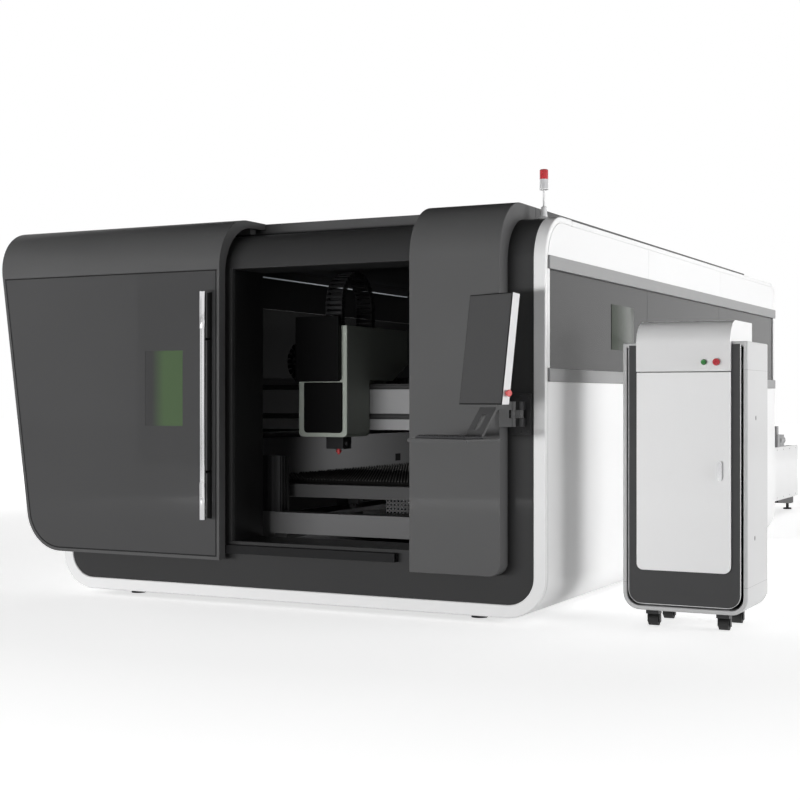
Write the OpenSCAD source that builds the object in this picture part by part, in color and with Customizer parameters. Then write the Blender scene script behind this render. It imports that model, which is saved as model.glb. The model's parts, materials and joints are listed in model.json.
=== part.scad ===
// Enclosed fiber laser cutting machine with a shuttle table and a laser source cabinet.
// Design frame: x to the right across the front, y to the back, z up, floor at z = 0.
// The machine's centre plane is x = 0 and its front face is y = 0; place() then moves
// the whole part so that its origin is the bottom centre of its bounding box.

/* [Enclosure] */
// Width across the white rim
body_w = 3200; // [3000:10:3400]
// Depth of the enclosure
body_d = 5400; // [5300:10:5600]
// Height of the side walls above the floor
body_top = 2172; // [2140:2:2220]
// Height of the rim above the floor
foot_h = 30; // [20:1:45]
// Width of the white rim seen from the front
rim_w = 70; // [50:1:90]
// How far the rim stands proud of the dark face
rim_proud = 6; // [2:1:12]
// Depth of a folded sheet panel
skin_t = 30; // [24:1:36]
// Radius where the front turns into the top
front_r = 250; // [200:5:280]
// Radius of the outer bottom corners
corner_r = 220; // [180:5:240]
// Radius where the top turns into the rear
rear_r = 160; // [120:5:200]
// Depth of the curved front section, up to the raised roof
front_depth = 400; // [380:5:440]
// Gap between neighbouring side panels
seam = 4; // [2:1:8]

/* [Side windows] */
// Bottom edge of the lower trim rail
trim_low_z = 1287; // [1250:1:1320]
// Bottom edge of the upper trim rail
trim_high_z = 1883; // [1850:1:1910]
// Height of a trim rail
trim_h = 70; // [50:1:80]
// How far a trim rail stands proud
trim_proud = 12; // [4:1:20]
// Thickness of the tinted panes
pane_t = 14; // [8:1:18]
// Width of the white post at each end of the window band
mullion_w = 28; // [20:1:40]

/* [Roof] */
// Distance from a side wall to the raised roof
roof_in = 215; // [150:5:300]
// Distance from the rear wall's face to the raised roof
roof_back = 195; // [170:5:400]
// Height of the raised roof above the side walls
roof_rise = 88; // [80:1:100]
// Sheet depth of the raised roof
roof_t = 20; // [12:1:24]

/* [Front opening] */
// Width of the opening
open_w = 1258; // [1150:1:1300]
// How far the fixed cover laps over the opening
open_lap = 48; // [20:1:60]
// Sill height
open_z0 = 365; // [355:1:390]
// Head height
open_z1 = 1955; // [1920:1:1960]
// Depth of the lining behind the face
lining_d = 310; // [260:1:330]
// Sheet depth of the lining
lining_t = 20; // [14:1:26]
// Height of the lower door track
track_h = 50; // [40:1:56]
// Depth of the lower door track
track_d = 45; // [30:1:46]

/* [Sliding door] */
// How far the door and the fixed cover stand in front of the face
cover_out = 110; // [100:1:130]
// Radius of the door and cover where they turn into the top
cover_r = 300; // [280:5:330]
// Gap between the opening and the open door
door_lap = 17; // [8:1:30]
// Width of the door at its foot
door_foot_w = 1395; // [1340:5:1440]
// How far the left edge leans out over the door's height
door_lean = 273; // [220:1:300]
// Bottom edge of the door
door_z0 = 262; // [250:1:280]
// Radius of the lower left corner
door_r = 260; // [200:5:300]
// Wall of the door shell
door_t = 25; // [18:1:28]
// Gap between the door and the face behind it
door_gap = 48; // [47:1:56]
// Top edge of the inset door panel
door_panel_top = 1945; // [1900:1:1960]
// Border between the door's edge and the inset panel
door_border = 20; // [14:1:30]
// Thickness of the inset panel
door_panel_t = 12; // [8:1:14]
// Width of the groove around the inset panel
groove = 2; // [1:0.5:4]
// Distance of the viewing window from the door's right edge
view_in = 256; // [200:1:320]
// Width of the viewing window
view_w = 270; // [220:1:300]
// Bottom edge of the viewing window
view_z0 = 1036; // [980:1:1080]
// Height of the viewing window
view_h = 444; // [380:1:480]
// Diameter of the handle bar
bar_d = 34; // [28:1:40]
// Bottom end of the handle bar
bar_z0 = 498; // [460:1:540]
// Length of the handle bar
bar_len = 1319; // [1200:1:1380]
// Distance of the handle bar from the door's right edge
bar_in = 66; // [60:1:90]
// Distance of the handle bar from the door's face
bar_off = 70; // [55:1:90]

/* [Fixed front cover] */
// Width of the cover
cover_w = 533; // [480:1:560]
// Distance of the cover from the right side wall
cover_in = 215; // [190:1:250]
// Bottom edge of the cover
cover_z0 = 258; // [240:1:280]
// Radius of the lower right corner
cover_corner = 66; // [40:1:90]

/* [Machine bed] */
// Room between the bed and the curve of the side panels
side_room = 190; // [150:1:240]
// Width of a bed beam
bed_w = 300; // [280:1:320]
// Bottom of the bed beams
bed_z0 = 560; // [550:1:570]
// Top of the bed beams
bed_z1 = 930; // [920:1:940]
// Wall of the welded tubes
tube_t = 14; // [10:1:20]
// Height of the underframe tubes
sole_h = 140; // [120:1:160]
// Gap under the underframe
sole_z = 60; // [56:1:80]
// Height of the guide rails
rail_h = 35; // [30:1:40]
// Width of the guide rails
rail_w = 40; // [30:1:50]
// Bottom of the cross beam behind the sill
sill_beam_z = 378; // [370:1:390]
// Height of the cross beam behind the sill
sill_beam_h = 128; // [110:1:140]
// Width of the ribbed post behind the opening
post_w = 130; // [110:1:150]
// Height of the ribbed post
post_h = 341; // [300:1:380]
// Width of a bed post
bed_post = 160; // [120:1:200]
// Width of an underframe cross tube
cross_w = 120; // [100:1:140]

/* [Gantry] */
// Front face of the beam
beam_y = 1000; // [980:1:1020]
// Depth of the beam
beam_d = 300; // [280:1:320]
// Bottom of the beam
beam_z0 = 1000; // [996:1:1004]
// Height of the beam
beam_h = 290; // [285:1:295]
// Running gap between sliding faces
slip = 0.3; // [0.2:0.1:0.5]
// Outer radius of the cable chain's bend
chain_r = 165; // [150:1:175]
// Distance of the cable chain's bend from the carriage
chain_reach = 440; // [380:5:500]
// Thickness of a cable chain
chain_t = 45; // [36:1:50]
// Width of the cable chain on the beam
chain_w = 100; // [80:1:110]

/* [Cutting head] */
// Centre of the carriage across the beam
head_x = -150; // [-250:1:-50]
// Width of the carriage
head_w = 345; // [320:1:370]
// Front of the carriage
head_y = 700; // [680:1:720]
// Bottom of the carriage
head_z0 = 959; // [950:1:980]
// Top of the carriage
head_z1 = 1651; // [1640:1:1680]
// Distance the carriage reaches back over the beam
head_back = 542; // [500:1:550]
// Width of the head block
block_w = 120; // [100:1:140]
// Height of the nozzle tip above the floor
tip_z = 847; // [840:1:860]
// Mean radius of the cable arch over the carriage
arch_r = 200; // [180:1:220]
// Width of the cable arch
arch_w = 115; // [100:1:130]

/* [Pallets] */
// Gap between a pallet and the bed beams
pallet_gap = 40; // [30:1:60]
// Length of a pallet
pallet_len = 3150; // [3000:10:3200]
// Front edge of the pallet inside the machine
pallet_y = 600; // [590:1:620]
// Bottom of the upper pallet
upper_z = 590; // [586:1:595]
// Bottom of the lower pallet
lower_z = 390; // [380:1:400]
// Height of a pallet's frame
pallet_h = 80; // [70:1:84]
// Width of a pallet's frame tubes
pallet_bar = 70; // [60:1:80]
// Travel between the machine and the shuttle table
shuttle = 5100; // [5050:10:5150]
// Distance between slats
slat_pitch = 125; // [100:5:160]
// Height of the teeth above the frame
slat_up = 30; // [20:1:34]
// Width of one tooth
tooth = 60; // [40:5:80]
// Depth of a tooth
tooth_h = 26; // [20:1:40]
// Thickness of a slat
slat_t = 6; // [4:1:10]

/* [Shuttle table] */
// Gap between a pallet and the table's tubes
table_gap = 50; // [40:1:80]
// Rear end of the table
table_end = 9250; // [9220:5:9300]
// Bottom edge of the side panels
table_z0 = 136; // [120:1:150]
// Underside of the brackets over the table's feet
bracket_z = 66; // [60:1:80]
// Top edge of the side panels
table_z1 = 695; // [685:1:720]
// Height of the shuttle drive above the table
drive_h = 130; // [110:1:140]
// Width of the table's tubes
table_tube = 90; // [80:1:98]
// Thickness of the table's sheet panels
table_sheet = 12; // [8:1:16]

/* [Operator console] */
// Distance of the hinge pin from the right side wall
link_in = 128; // [122:1:134]
// Distance of that pin from the face
link_y = 45; // [40:1:50]
// Distance between the two hinge pins
link_len = 70; // [60:1:80]
// Radius of the hinge knuckles
knuckle_r = 21; // [18:1:24]
// Radius of the hinge pins
pin_r = 8; // [6:1:10]
// Running clearance of the pins
pin_gap = 0.05; // [0.03:0.01:0.1]
// Height of one knuckle
knuckle_h = 44; // [36:1:50]
// Bottom of the lowest knuckle
knuckle_z = 1049; // [1030:1:1060]
// Angle the console is turned towards the operator
console_yaw = 21.5; // [15:0.5:24]
// Width of the monitor
monitor_w = 308; // [280:1:320]
// Height of the monitor
monitor_h = 575; // [520:1:600]
// Thickness of the monitor
monitor_t = 50; // [40:1:55]
// Backward tilt of the monitor
monitor_tilt = 8; // [4:0.5:10]
// Width of the keyboard tray
tray_w = 433; // [400:1:450]
// Depth of the keyboard tray
tray_d = 250; // [220:1:270]
// Height of the keyboard tray above the floor
tray_z = 985; // [960:1:1000]

/* [Light strips] */
// Distance of a light strip from the side wall
strip_in = 320; // [250:5:400]
// Front end of the light strips
strip_y = 1700; // [1500:10:1900]
// Length of the light strips
strip_len = 2400; // [2000:10:2600]

/* [Beacon] */
// Diameter of the lenses
lens_d = 47; // [40:1:54]
// Height of one lens
lens_h = 49; // [40:1:60]
// Height of the stem under the lenses
stem_h = 171; // [150:1:200]

/* [Cabinet] */
// Distance between the machine and the cabinet
cab_gap = 348; // [280:1:500]
// Width of the cabinet
cab_w = 660; // [620:1:700]
// Front of the cabinet
cab_y0 = 215; // [180:1:260]
// Depth of the cabinet
cab_d = 445; // [420:1:600]
// Bottom of the cabinet above the floor
cab_z0 = 90; // [88:1:100]
// Shoulder height of the cabinet
cab_z1 = 1488; // [1460:1:1500]
// Top of the cabinet's hood
cab_top = 1600; // [1580:1:1640]
// Wall of the cabinet
cab_t = 24; // [18:1:30]
// Radius of the cabinet's bottom corners
cab_r = 90; // [60:1:110]
// Width of the cabinet's door and hood
cab_door_w = 495; // [460:1:510]
// Bottom edge of the cabinet's door
cab_door_z0 = 304; // [280:1:330]
// Top edge of the cabinet's door
cab_door_z1 = 1332; // [1300:1:1340]
// Thickness of the cabinet's door
cab_door_t = 22; // [16:1:26]
// Radius of the hood's front edge
cab_hood_r = 120; // [90:5:140]
// Height of the button centres above the floor
button_z = 1383; // [1370:1:1395]
// Distance of the green button from the cabinet's centre
green_x = 112; // [90:1:125]
// Distance of the red button from the cabinet's centre
red_x = 177; // [165:1:195]
// Radius of a caster wheel
wheel_r = 30; // [26:1:32]
// Width of a caster wheel
wheel_w = 52; // [44:1:56]
// Distance between a caster's pivot and its axle
trail = 16; // [10:1:20]

/* [Hidden] */
$fn = 96;
eps = 1;
half_w = body_w / 2;
inner_w = half_w - skin_t;
roof_z = body_top + roof_rise;
deck_z = body_top - skin_t;
sole_top = sole_z + sole_h;
bed_out = half_w - corner_r - side_room;
bed_in = bed_out - bed_w;
pallet_half = bed_in - pallet_gap;
table_half = pallet_half + table_gap + table_tube + table_sheet;
cover_x1 = half_w - cover_in;
cover_x0 = cover_x1 - cover_w;
open_x1 = cover_x0 + open_lap;
open_x0 = open_x1 - open_w;
door_x1 = open_x0 - door_lap;
door_foot_x = door_x1 - door_foot_w;
view_x0 = door_x1 - view_in - view_w;
link_x = half_w - link_in;
cab_x0 = half_w + cab_gap;
roof_w = body_w - 2 * roof_in;
roof_end = body_d - roof_back;
rail_x = bed_in + 0.7 * bed_w;
rail_top = bed_z1 + rail_h;
sole_y0 = 80;
bed_y0 = 450;
bed_y1 = body_d - 200;
sole_in = bed_out - 140;
sole_out = bed_out + 60;
outrigger = half_w - corner_r - 10;
cross_y = [for (i = [0 : 3]) sole_y0 + 20 + i * (bed_y1 - sole_y0 - 20 - cross_w) / 3];
post_y = [for (i = [0 : 4]) bed_y0 + i * (bed_y1 - bed_y0 - bed_post) / 4];
panel_len = (body_d - skin_t) * 0.33;
panel_cuts = [skin_t, skin_t + panel_len, skin_t + 2 * panel_len, body_d];
trim_low_top = trim_low_z + trim_h;
trim_high_top = trim_high_z + trim_h;
door_slope = -door_lean / (roof_z - door_z0);
door_left = door_foot_x - door_lean;
beam_top = beam_z0 + beam_h;
head_left = head_x - head_w / 2;
head_right = head_x + head_w / 2;
block_x = head_x + 34;
carriage_back = beam_y - slip;
chain_y = beam_y + head_back + 20;
shelf_in = pallet_half - 60;
shelf_t = 30;
table_y0 = body_d + 20;
link_a = 16;
pivot_x = link_x - link_len * sin(link_a);
pivot_y = -link_y - link_len * cos(link_a);
knuckle_top = knuckle_z + 3 * knuckle_h;
monitor_y = -244;
monitor_z = 1166;
tray_x1 = 152;
tray_y1 = -230;
tray_t = 20;
stop_r = 11;
beacon_x = cover_x1 + 95;
beacon_y = front_r + 30;
lens_z = body_top + stem_h;
cab_x = cab_x0 + cab_w / 2;
cab_x1 = cab_x0 + cab_w;
cab_y1 = cab_y0 + cab_d;
source_top = cab_z0 + 670;
caster_dx = cab_w / 2 - 143;
caster_y = [cab_y0 + 80, cab_y1 - 90];

// Turns a point given along the console's own width and depth into the design frame
function console_y(p) = pivot_y - p[0] * sin(console_yaw) + p[1] * cos(console_yaw);
front_most = console_y([tray_x1, tray_y1 - tray_d]);
origin_x = (door_left + cab_x1) / 2;
origin_y = (front_most + table_end + table_sheet) / 2;

dark = [0.2, 0.2, 0.21];
white = [0.93, 0.93, 0.94];
mid_grey = [0.6, 0.6, 0.61];
steel = [0.55, 0.56, 0.57];
black = [0.06, 0.06, 0.065];

// Moves the design frame to the part's origin
module place() translate([-origin_x, -origin_y, 0]) children();

// Extrudes a drawing in y and z along x
module along_x(x0, x1) translate([x0, 0, 0]) rotate([90, 0, 90]) linear_extrude(x1 - x0) children();

// Extrudes a drawing in x and z along y
module along_y(y0, y1) translate([0, y1, 0]) rotate([90, 0, 0]) linear_extrude(y1 - y0) children();

// A block between two corners
module block(a, b) translate(a) cube(b - a);

// Does the same on the left and on the right
module both_sides() {
  children();
  mirror([1, 0, 0]) children();
}

// Side view of a front that turns into the top: flat front, round shoulder, flat top
module hood_2d(y0, y1, z0, top, r) {
  translate([y0, z0]) square([y1 - y0, top - r - z0]);
  translate([y0 + r, top - r]) square([y1 - y0 - r, r]);
  intersection() {
    translate([y0 + r, top - r]) circle(r);
    translate([y0, top - r]) square([r, r]);
  }
}

// Side view of the enclosure with a round shoulder at the front and the back
module side_2d(inset) {
  intersection() {
    hood_2d(inset, body_d + rear_r, foot_h, body_top - inset, front_r - inset);
    translate([body_d, 0]) mirror([1, 0])
      hood_2d(inset, body_d + front_r, foot_h, body_top - inset, rear_r - inset);
  }
}

// Front view of a box with round bottom corners
module tub_2d(w, z0, z1, r) {
  translate([-w / 2, z0 + r]) square([w, z1 - z0 - r]);
  translate([-w / 2 + r, z0]) square([w - 2 * r, r]);
  for (s = [-1, 1]) translate([s * (w / 2 - r), z0 + r]) circle(r);
}

// Front view of the door: leaning left edge and a round lower left corner, drawn inset by a border
module door_2d(inset, top) {
  s = sqrt(1 + door_slope * door_slope);
  r = door_r - inset;
  foot_z = door_z0 + inset;
  foot_x = door_foot_x + door_slope * inset + inset * s;
  c = [foot_x + door_slope * r + r * s, foot_z + r];
  translate(c) circle(r);
  polygon([
    [c[0], foot_z], [door_x1 - inset, foot_z], [door_x1 - inset, top],
    [foot_x + door_slope * (top - foot_z), top], [c[0] - r / s, c[1] + r * door_slope / s], c
  ]);
}

// Front view of the fixed cover with its round lower right corner, drawn inset by a border
module cover_2d(inset) {
  x0 = cover_x0 + inset;
  x1 = cover_x1 - inset;
  z0 = cover_z0 + inset;
  r = cover_corner - inset;
  translate([x0, z0]) square([x1 - x0 - r, roof_z - z0]);
  translate([x1 - r, z0 + r]) square([r, roof_z - z0 - r]);
  translate([x1 - r, z0 + r]) circle(r);
}

// A square tube along y
module tube_y(x0, x1, y0, y1, z0, z1) {
  along_y(y0, y1) difference() {
    translate([x0, z0]) square([x1 - x0, z1 - z0]);
    translate([x0 + tube_t, z0 + tube_t]) square([x1 - x0 - 2 * tube_t, z1 - z0 - 2 * tube_t]);
  }
}

// Bed and guide ways

module ribbed_post() {
  post_x = open_x0 - 72;
  foot_z = sill_beam_z + sill_beam_h;
  top_z = foot_z + post_h;
  rib = post_w / 7;
  difference() {
    block([post_x, bed_y0 - 10, foot_z], [post_x + post_w, bed_y0 + 90, top_z]);
    for (i = [0 : 2])
      block([post_x + rib * (2 * i + 1), bed_y0 - 11, foot_z + 10],
            [post_x + rib * (2 * i + 2), bed_y0 + 6, top_z + eps]);
  }
}

module bed_frame() {
  color(mid_grey) union() {
    both_sides() {
      tube_y(bed_in, bed_out, bed_y0, bed_y1, bed_z0, bed_z1);
      tube_y(sole_in, sole_out, sole_y0, body_d - 100, sole_z, sole_top);
      for (y = post_y) block([sole_in, y, sole_top], [bed_out, y + bed_post, bed_z0]);
    }
    for (y = cross_y) {
      block([-sole_in, y, sole_z], [sole_in, y + cross_w, sole_top]);
      both_sides() block([sole_out, y, sole_z], [outrigger, y + cross_w, sole_top]);
    }
    block([-sole_in, bed_y0 - 20, sill_beam_z], [sole_in, bed_y0 + 100, sill_beam_z + sill_beam_h]);
    block([-sole_in, post_y[1], sole_z], [sole_in, bed_y1 - 200, sole_z + tube_t]);
    ribbed_post();
  }
}

module bed_guide_rails() {
  color(steel) both_sides() along_y(bed_y0 + 40, bed_y1 - 40) translate([rail_x - rail_w / 2, bed_z1])
    difference() {
      square([rail_w, rail_h]);
      for (x = [-0.01, rail_w - 4.99]) translate([x, rail_h * 0.4]) square([5, rail_h * 0.3]);
    }
}

module foot(x, y, top) {
  translate([x, y, 0]) {
    cylinder(h = 16, d1 = 92, d2 = 84);
    translate([0, 0, 16]) cylinder(h = top - 16, d = 32);
  }
}

module table_foot(y, reach) {
  x = table_half - table_sheet - table_tube / 2;
  under = table_z0 + 4;
  foot(x, y, bracket_z + 4);
  along_x(x - 45, x + 45) polygon([
    [y - reach, under], [y - reach, under - 32], [y - 60, bracket_z], [y + 90, bracket_z], [y + 90, under]
  ]);
}

module levelling_feet() {
  color(black) both_sides() {
    for (y = cross_y) foot((sole_in + sole_out) / 2, y + cross_w / 2, sole_z);
    table_foot(table_y0 + 300, 200);
    table_foot(table_end - 270, 666);
  }
}

// Front of the enclosure

module face_2d() tub_2d(body_w - 2 * rim_w, foot_h + rim_w, roof_z, corner_r - rim_w);

module front_fascia() {
  color(dark) difference() {
    intersection() {
      along_x(-half_w, half_w) difference() {
        hood_2d(0, front_depth, foot_h, body_top, front_r);
        hood_2d(skin_t, front_depth + eps, foot_h - eps, deck_z, front_r - skin_t);
      }
      along_y(-eps, front_depth + eps) face_2d();
    }
    block([open_x0, -eps, open_z0], [open_x1, 2 * skin_t, open_z1]);
  }
}

module front_rim() {
  color(white) difference() {
    intersection() {
      along_x(-half_w, half_w) difference() {
        hood_2d(-rim_proud, front_depth, foot_h, body_top + rim_proud, front_r + rim_proud);
        hood_2d(skin_t, front_depth + eps, foot_h - eps, deck_z, front_r - skin_t);
      }
      along_y(-rim_proud - eps, front_depth + eps) tub_2d(body_w, foot_h, roof_z, corner_r);
    }
    along_y(-rim_proud - 2 * eps, front_depth + 2 * eps) face_2d();
  }
}

module opening_frame() {
  guide_x1 = open_x1 - 170;
  track_z0 = open_z0 - 19 - track_h;
  rail_y = front_depth - 100;
  color(dark) {
    difference() {
      along_x(open_x0 - lining_t, open_x1 + lining_t) intersection() {
        translate([skin_t, open_z0 - lining_t]) square([lining_d, open_z1 - open_z0 + 2 * lining_t]);
        hood_2d(skin_t + slip, skin_t + lining_d, 0, deck_z - slip, front_r - skin_t);
      }
      block([open_x0, 0, open_z0], [open_x1, skin_t + lining_d + eps, open_z1]);
    }
    along_x(door_foot_x + 280, guide_x1) difference() {
      translate([-track_d, track_z0]) square([track_d, track_h]);
      translate([-track_d + 12, track_z0 + 18]) square([16, track_h]);
    }
    block([-half_w + rim_w + 10, rail_y - 15, body_top], [cover_x0 - 7, rail_y + 15, body_top + 14]);
  }
}

module right_front_cover() {
  color(dark) difference() {
    intersection() {
      along_x(cover_x0, cover_x1) difference() {
        hood_2d(-cover_out, front_depth, cover_z0, roof_z, cover_r);
        hood_2d(0, front_depth + eps, cover_z0 - eps, body_top, front_r);
      }
      along_y(-cover_out - eps, front_depth + eps) cover_2d(0);
    }
    intersection() {
      along_x(cover_x0, cover_x1)
        hood_2d(-cover_out + door_t, front_depth - door_t, cover_z0, roof_z - door_t, cover_r - door_t);
      along_y(-cover_out - eps, front_depth + eps) cover_2d(door_t);
    }
  }
}

// Sides, roof and rear wall

// One panel of each side, cut from the wall that a drawing in x and z gives
module side_panels(z0, z1) {
  for (i = [0 : len(panel_cuts) - 2]) {
    y0 = panel_cuts[i] + (i == 0 ? 0 : seam / 2);
    y1 = panel_cuts[i + 1] - (i == len(panel_cuts) - 2 ? 0 : seam / 2);
    intersection() {
      along_y(y0, y1) children();
      along_x(-half_w, half_w) intersection() {
        side_2d(skin_t);
        translate([0, z0]) square([body_d, z1 - z0]);
      }
    }
  }
}

module wall_2d() translate([inner_w, foot_h]) square([skin_t, body_top]);

module skirt_2d() {
  intersection() {
    difference() {
      tub_2d(body_w, foot_h, body_top, corner_r);
      tub_2d(body_w - 2 * skin_t, foot_h + skin_t, body_top + eps, corner_r - skin_t);
    }
    translate([half_w - corner_r - 50, 0]) square([corner_r + 51, body_top]);
  }
}

module upper_side_panels() {
  color(white) both_sides() {
    side_panels(trim_high_top, deck_z) wall_2d();
    for (y = [skin_t, body_d - skin_t - mullion_w])
      block([inner_w, y, trim_low_top], [half_w, y + mullion_w, trim_high_z]);
  }
}

module lower_side_panels() {
  color(white) both_sides() {
    for (i = [0 : len(panel_cuts) - 2])
      along_y(panel_cuts[i] + (i == 0 ? 0 : seam / 2), panel_cuts[i + 1] - (i == 2 ? 0 : seam / 2))
        intersection() {
          skirt_2d();
          translate([0, foot_h]) square([half_w, trim_low_z - foot_h]);
        }
  }
}

module window_trims() {
  color(mid_grey) both_sides() for (z = [trim_low_z, trim_high_z])
    along_x(inner_w, half_w + trim_proud) intersection() {
      translate([skin_t, z]) square([body_d - skin_t - 2, trim_h]);
      side_2d(skin_t + slip);
    }
}

module side_windows() {
  pane_x = half_w - 10 - pane_t;
  ends = [skin_t + mullion_w, panel_cuts[1], panel_cuts[2], body_d - skin_t - mullion_w];
  color([0.28, 0.28, 0.28]) both_sides() for (i = [0 : 2])
    block([pane_x, ends[i], trim_low_top], [pane_x + pane_t, ends[i + 1] - (i == 2 ? 0 : seam), trim_high_z]);
}

module roof_deck() {
  color(white) block([-half_w, front_depth, deck_z], [half_w, body_d - rear_r, body_top]);
}

module raised_roof() {
  color(dark) difference() {
    block([-roof_w / 2, front_depth, body_top], [roof_w / 2, roof_end, roof_z]);
    block([-roof_w / 2 + roof_t, front_depth + roof_t, body_top - eps],
          [roof_w / 2 - roof_t, roof_end - roof_t, roof_z - roof_t]);
  }
}

module rear_wall() {
  slot_half = pallet_half + 130;
  slot_z0 = lower_z - 50;
  slot_z1 = upper_z + pallet_h + 100;
  color(white) difference() {
    union() {
      along_x(-inner_w, inner_w) intersection() {
        difference() {
          side_2d(0);
          side_2d(skin_t);
        }
        translate([body_d - rear_r, foot_h + corner_r]) square([rear_r, body_top]);
      }
      both_sides() along_x(inner_w, half_w) intersection() {
        difference() {
          side_2d(0);
          side_2d(skin_t);
        }
        translate([body_d - rear_r, body_top - rear_r]) square([rear_r - skin_t, rear_r]);
      }
    }
    block([-slot_half, body_d - skin_t - eps, slot_z0], [slot_half, body_d + eps, slot_z1]);
  }
}

module light_strips() {
  strip_x = inner_w - strip_in;
  color([0.95, 0.96, 0.98]) both_sides()
    block([strip_x, strip_y, deck_z - 70], [strip_x + 50, strip_y + strip_len, deck_z]);
}

// Signal beacon

module beacon_stem() {
  color(white) translate([beacon_x, beacon_y, body_top]) rotate_extrude() polygon([
    [0, 0], [34, 0], [34, 9], [20, 16], [16, 50], [16, 68], [6, 74], [6, stem_h - 12],
    [lens_d / 2 + 1, stem_h - 8], [lens_d / 2 + 1, stem_h], [0, stem_h]
  ]);
}

module beacon_lens_clear() {
  color([0.94, 0.95, 0.96]) translate([beacon_x, beacon_y, lens_z]) cylinder(h = lens_h, d = lens_d);
}

module beacon_lens_red() {
  color([0.8, 0.05, 0.08]) translate([beacon_x, beacon_y, lens_z + lens_h]) rotate_extrude() polygon([
    [0, 0], [lens_d / 2, 0], [lens_d / 2, lens_h], [lens_d / 2 - 5, lens_h + 5], [0, lens_h + 8]
  ]);
}

// Pallets and shuttle table

module pallet_rails() {
  color(steel) both_sides() {
    block([shelf_in, pallet_y - 50, upper_z - shelf_t], [bed_in, body_d - 40, upper_z]);
    block([shelf_in, pallet_y - 50, lower_z - shelf_t], [sole_in, body_d - 40, lower_z]);
    for (z = [lower_z, upper_z])
      block([shelf_in, table_y0 + 10, z - shelf_t],
            [table_half - table_sheet - table_tube, table_end - 60, z]);
  }
}

module exchange_frame() {
  x1 = table_half - table_sheet;
  x0 = x1 - table_tube;
  z0 = table_z0 + 4;
  z1 = table_z1 - 5;
  color(mid_grey) union() {
    both_sides() {
      block([x0, table_y0, z1 - table_tube], [x1, table_end, z1]);
      block([x0, table_y0, z0], [x1, table_end, z0 + table_tube]);
      for (i = [0 : 3]) {
        y = table_y0 + i * (table_end - table_y0 - 100) / 3;
        block([x0, y, z0 + table_tube], [x1, y + 100, z1 - table_tube]);
      }
    }
    for (y = [table_y0, (table_y0 + table_end) / 2, table_end - 100])
      block([-x0, y, z0], [x0, y + 100, z0 + table_tube]);
  }
}

module exchange_panels() {
  split = (table_y0 + table_end) / 2;
  color(white) {
    both_sides() for (span = [[body_d, split - seam / 2], [split + seam / 2, table_end]])
      block([table_half - table_sheet, span[0], table_z0], [table_half, span[1], table_z1]);
    block([-table_half, table_end, table_z0], [table_half, table_end + table_sheet, upper_z - 60]);
  }
}

module exchange_drive() {
  x0 = table_half - table_sheet - table_tube + 5;
  y0 = table_end - 930;
  box_top = table_z1 + drive_h;
  color(mid_grey) union() {
    block([x0, y0, table_z1 - 5], [x0 + 80, y0 + 140, box_top]);
    translate([x0 + 40, y0 + 140 - eps, table_z1 + drive_h / 2]) rotate([-90, 0, 0])
      cylinder(h = 200, d = drive_h - 30);
    block([x0 + 2, y0 + 160, table_z1 - 5], [x0 + 78, y0 + 320, box_top - 4]);
    block([x0 + 12, y0 + 5, box_top - eps], [x0 + 68, y0 + 95, box_top + 88]);
  }
}

module pallet(y0, z0) {
  h = pallet_half;
  union() {
    both_sides() block([h - pallet_bar, y0, z0], [h, y0 + pallet_len, z0 + pallet_h]);
    for (y = [y0, y0 + pallet_len - pallet_bar])
      block([-h + pallet_bar, y, z0], [h - pallet_bar, y + pallet_bar, z0 + pallet_h]);
    for (i = [1 : 3])
      translate([0, y0 + i * pallet_len / 4, z0]) block([-h + pallet_bar, 0, 0], [h - pallet_bar, 40, 8]);
  }
}

// One comb of pointed teeth between the pallet's side tubes
module slat_2d() {
  w = pallet_half - pallet_bar;
  n = floor(2 * w / tooth);
  step = 2 * w / n;
  top = pallet_h + slat_up;
  polygon(concat(
    [[-w, 8], [-w, top - tooth_h]],
    [for (i = [0 : n - 1]) for (k = [0, 1]) k == 0 ? [-w + (i + 0.5) * step, top] :
      [-w + (i + 1) * step, top - tooth_h]],
    [[w, 8]]
  ));
}

module slats(y0, z0) {
  first = y0 + pallet_bar + slat_pitch / 2;
  n = floor((pallet_len - 2 * pallet_bar - slat_pitch) / slat_pitch);
  for (i = [0 : n]) translate([0, first + i * slat_pitch, z0]) along_y(0, slat_t) slat_2d();
}

module upper_pallet() color(steel) pallet(pallet_y, upper_z);
module lower_pallet() color(steel) pallet(pallet_y + shuttle, lower_z);
module upper_slats() color([0.35, 0.35, 0.36]) slats(pallet_y, upper_z);
module lower_slats() color([0.35, 0.35, 0.36]) slats(pallet_y + shuttle, lower_z);

// Sliding door

module door_solid(inset, y_front, top, r) {
  intersection() {
    along_x(door_left - 10, door_x1 + 10)
      hood_2d(y_front, front_depth - 5 - inset, door_z0 - eps, top, r);
    along_y(-cover_out - eps, front_depth) door_2d(inset, roof_z);
  }
}

module door_shell() {
  shoe_x = [door_x1 - 1000, door_x1 - 120];
  rail_y = front_depth - 100;
  color(dark) difference() {
    union() {
      difference() {
        door_solid(0, -cover_out, roof_z, cover_r);
        door_solid(door_t, -cover_out + door_t, roof_z - door_t, cover_r - door_t);
        along_x(door_left - 20, door_x1 + 20)
          hood_2d(-door_gap, front_depth + eps, door_z0 - 2 * eps, body_top + door_gap, front_r + door_gap);
      }
      for (x = shoe_x)
        block([x, rail_y - 30, body_top + 14 + slip], [x + 90, rail_y + 30, roof_z - door_t + eps]);
    }
    along_y(-cover_out - eps, -cover_out + door_panel_t)
      door_2d(door_border - groove, door_panel_top + groove);
    block([view_x0, -cover_out, view_z0], [view_x0 + view_w, 0, view_z0 + view_h]);
  }
}

module door_panel() {
  color([0.24, 0.24, 0.25]) difference() {
    along_y(-cover_out, -cover_out + door_panel_t) door_2d(door_border, door_panel_top);
    block([view_x0, -cover_out - eps, view_z0], [view_x0 + view_w, 0, view_z0 + view_h]);
  }
}

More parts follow.
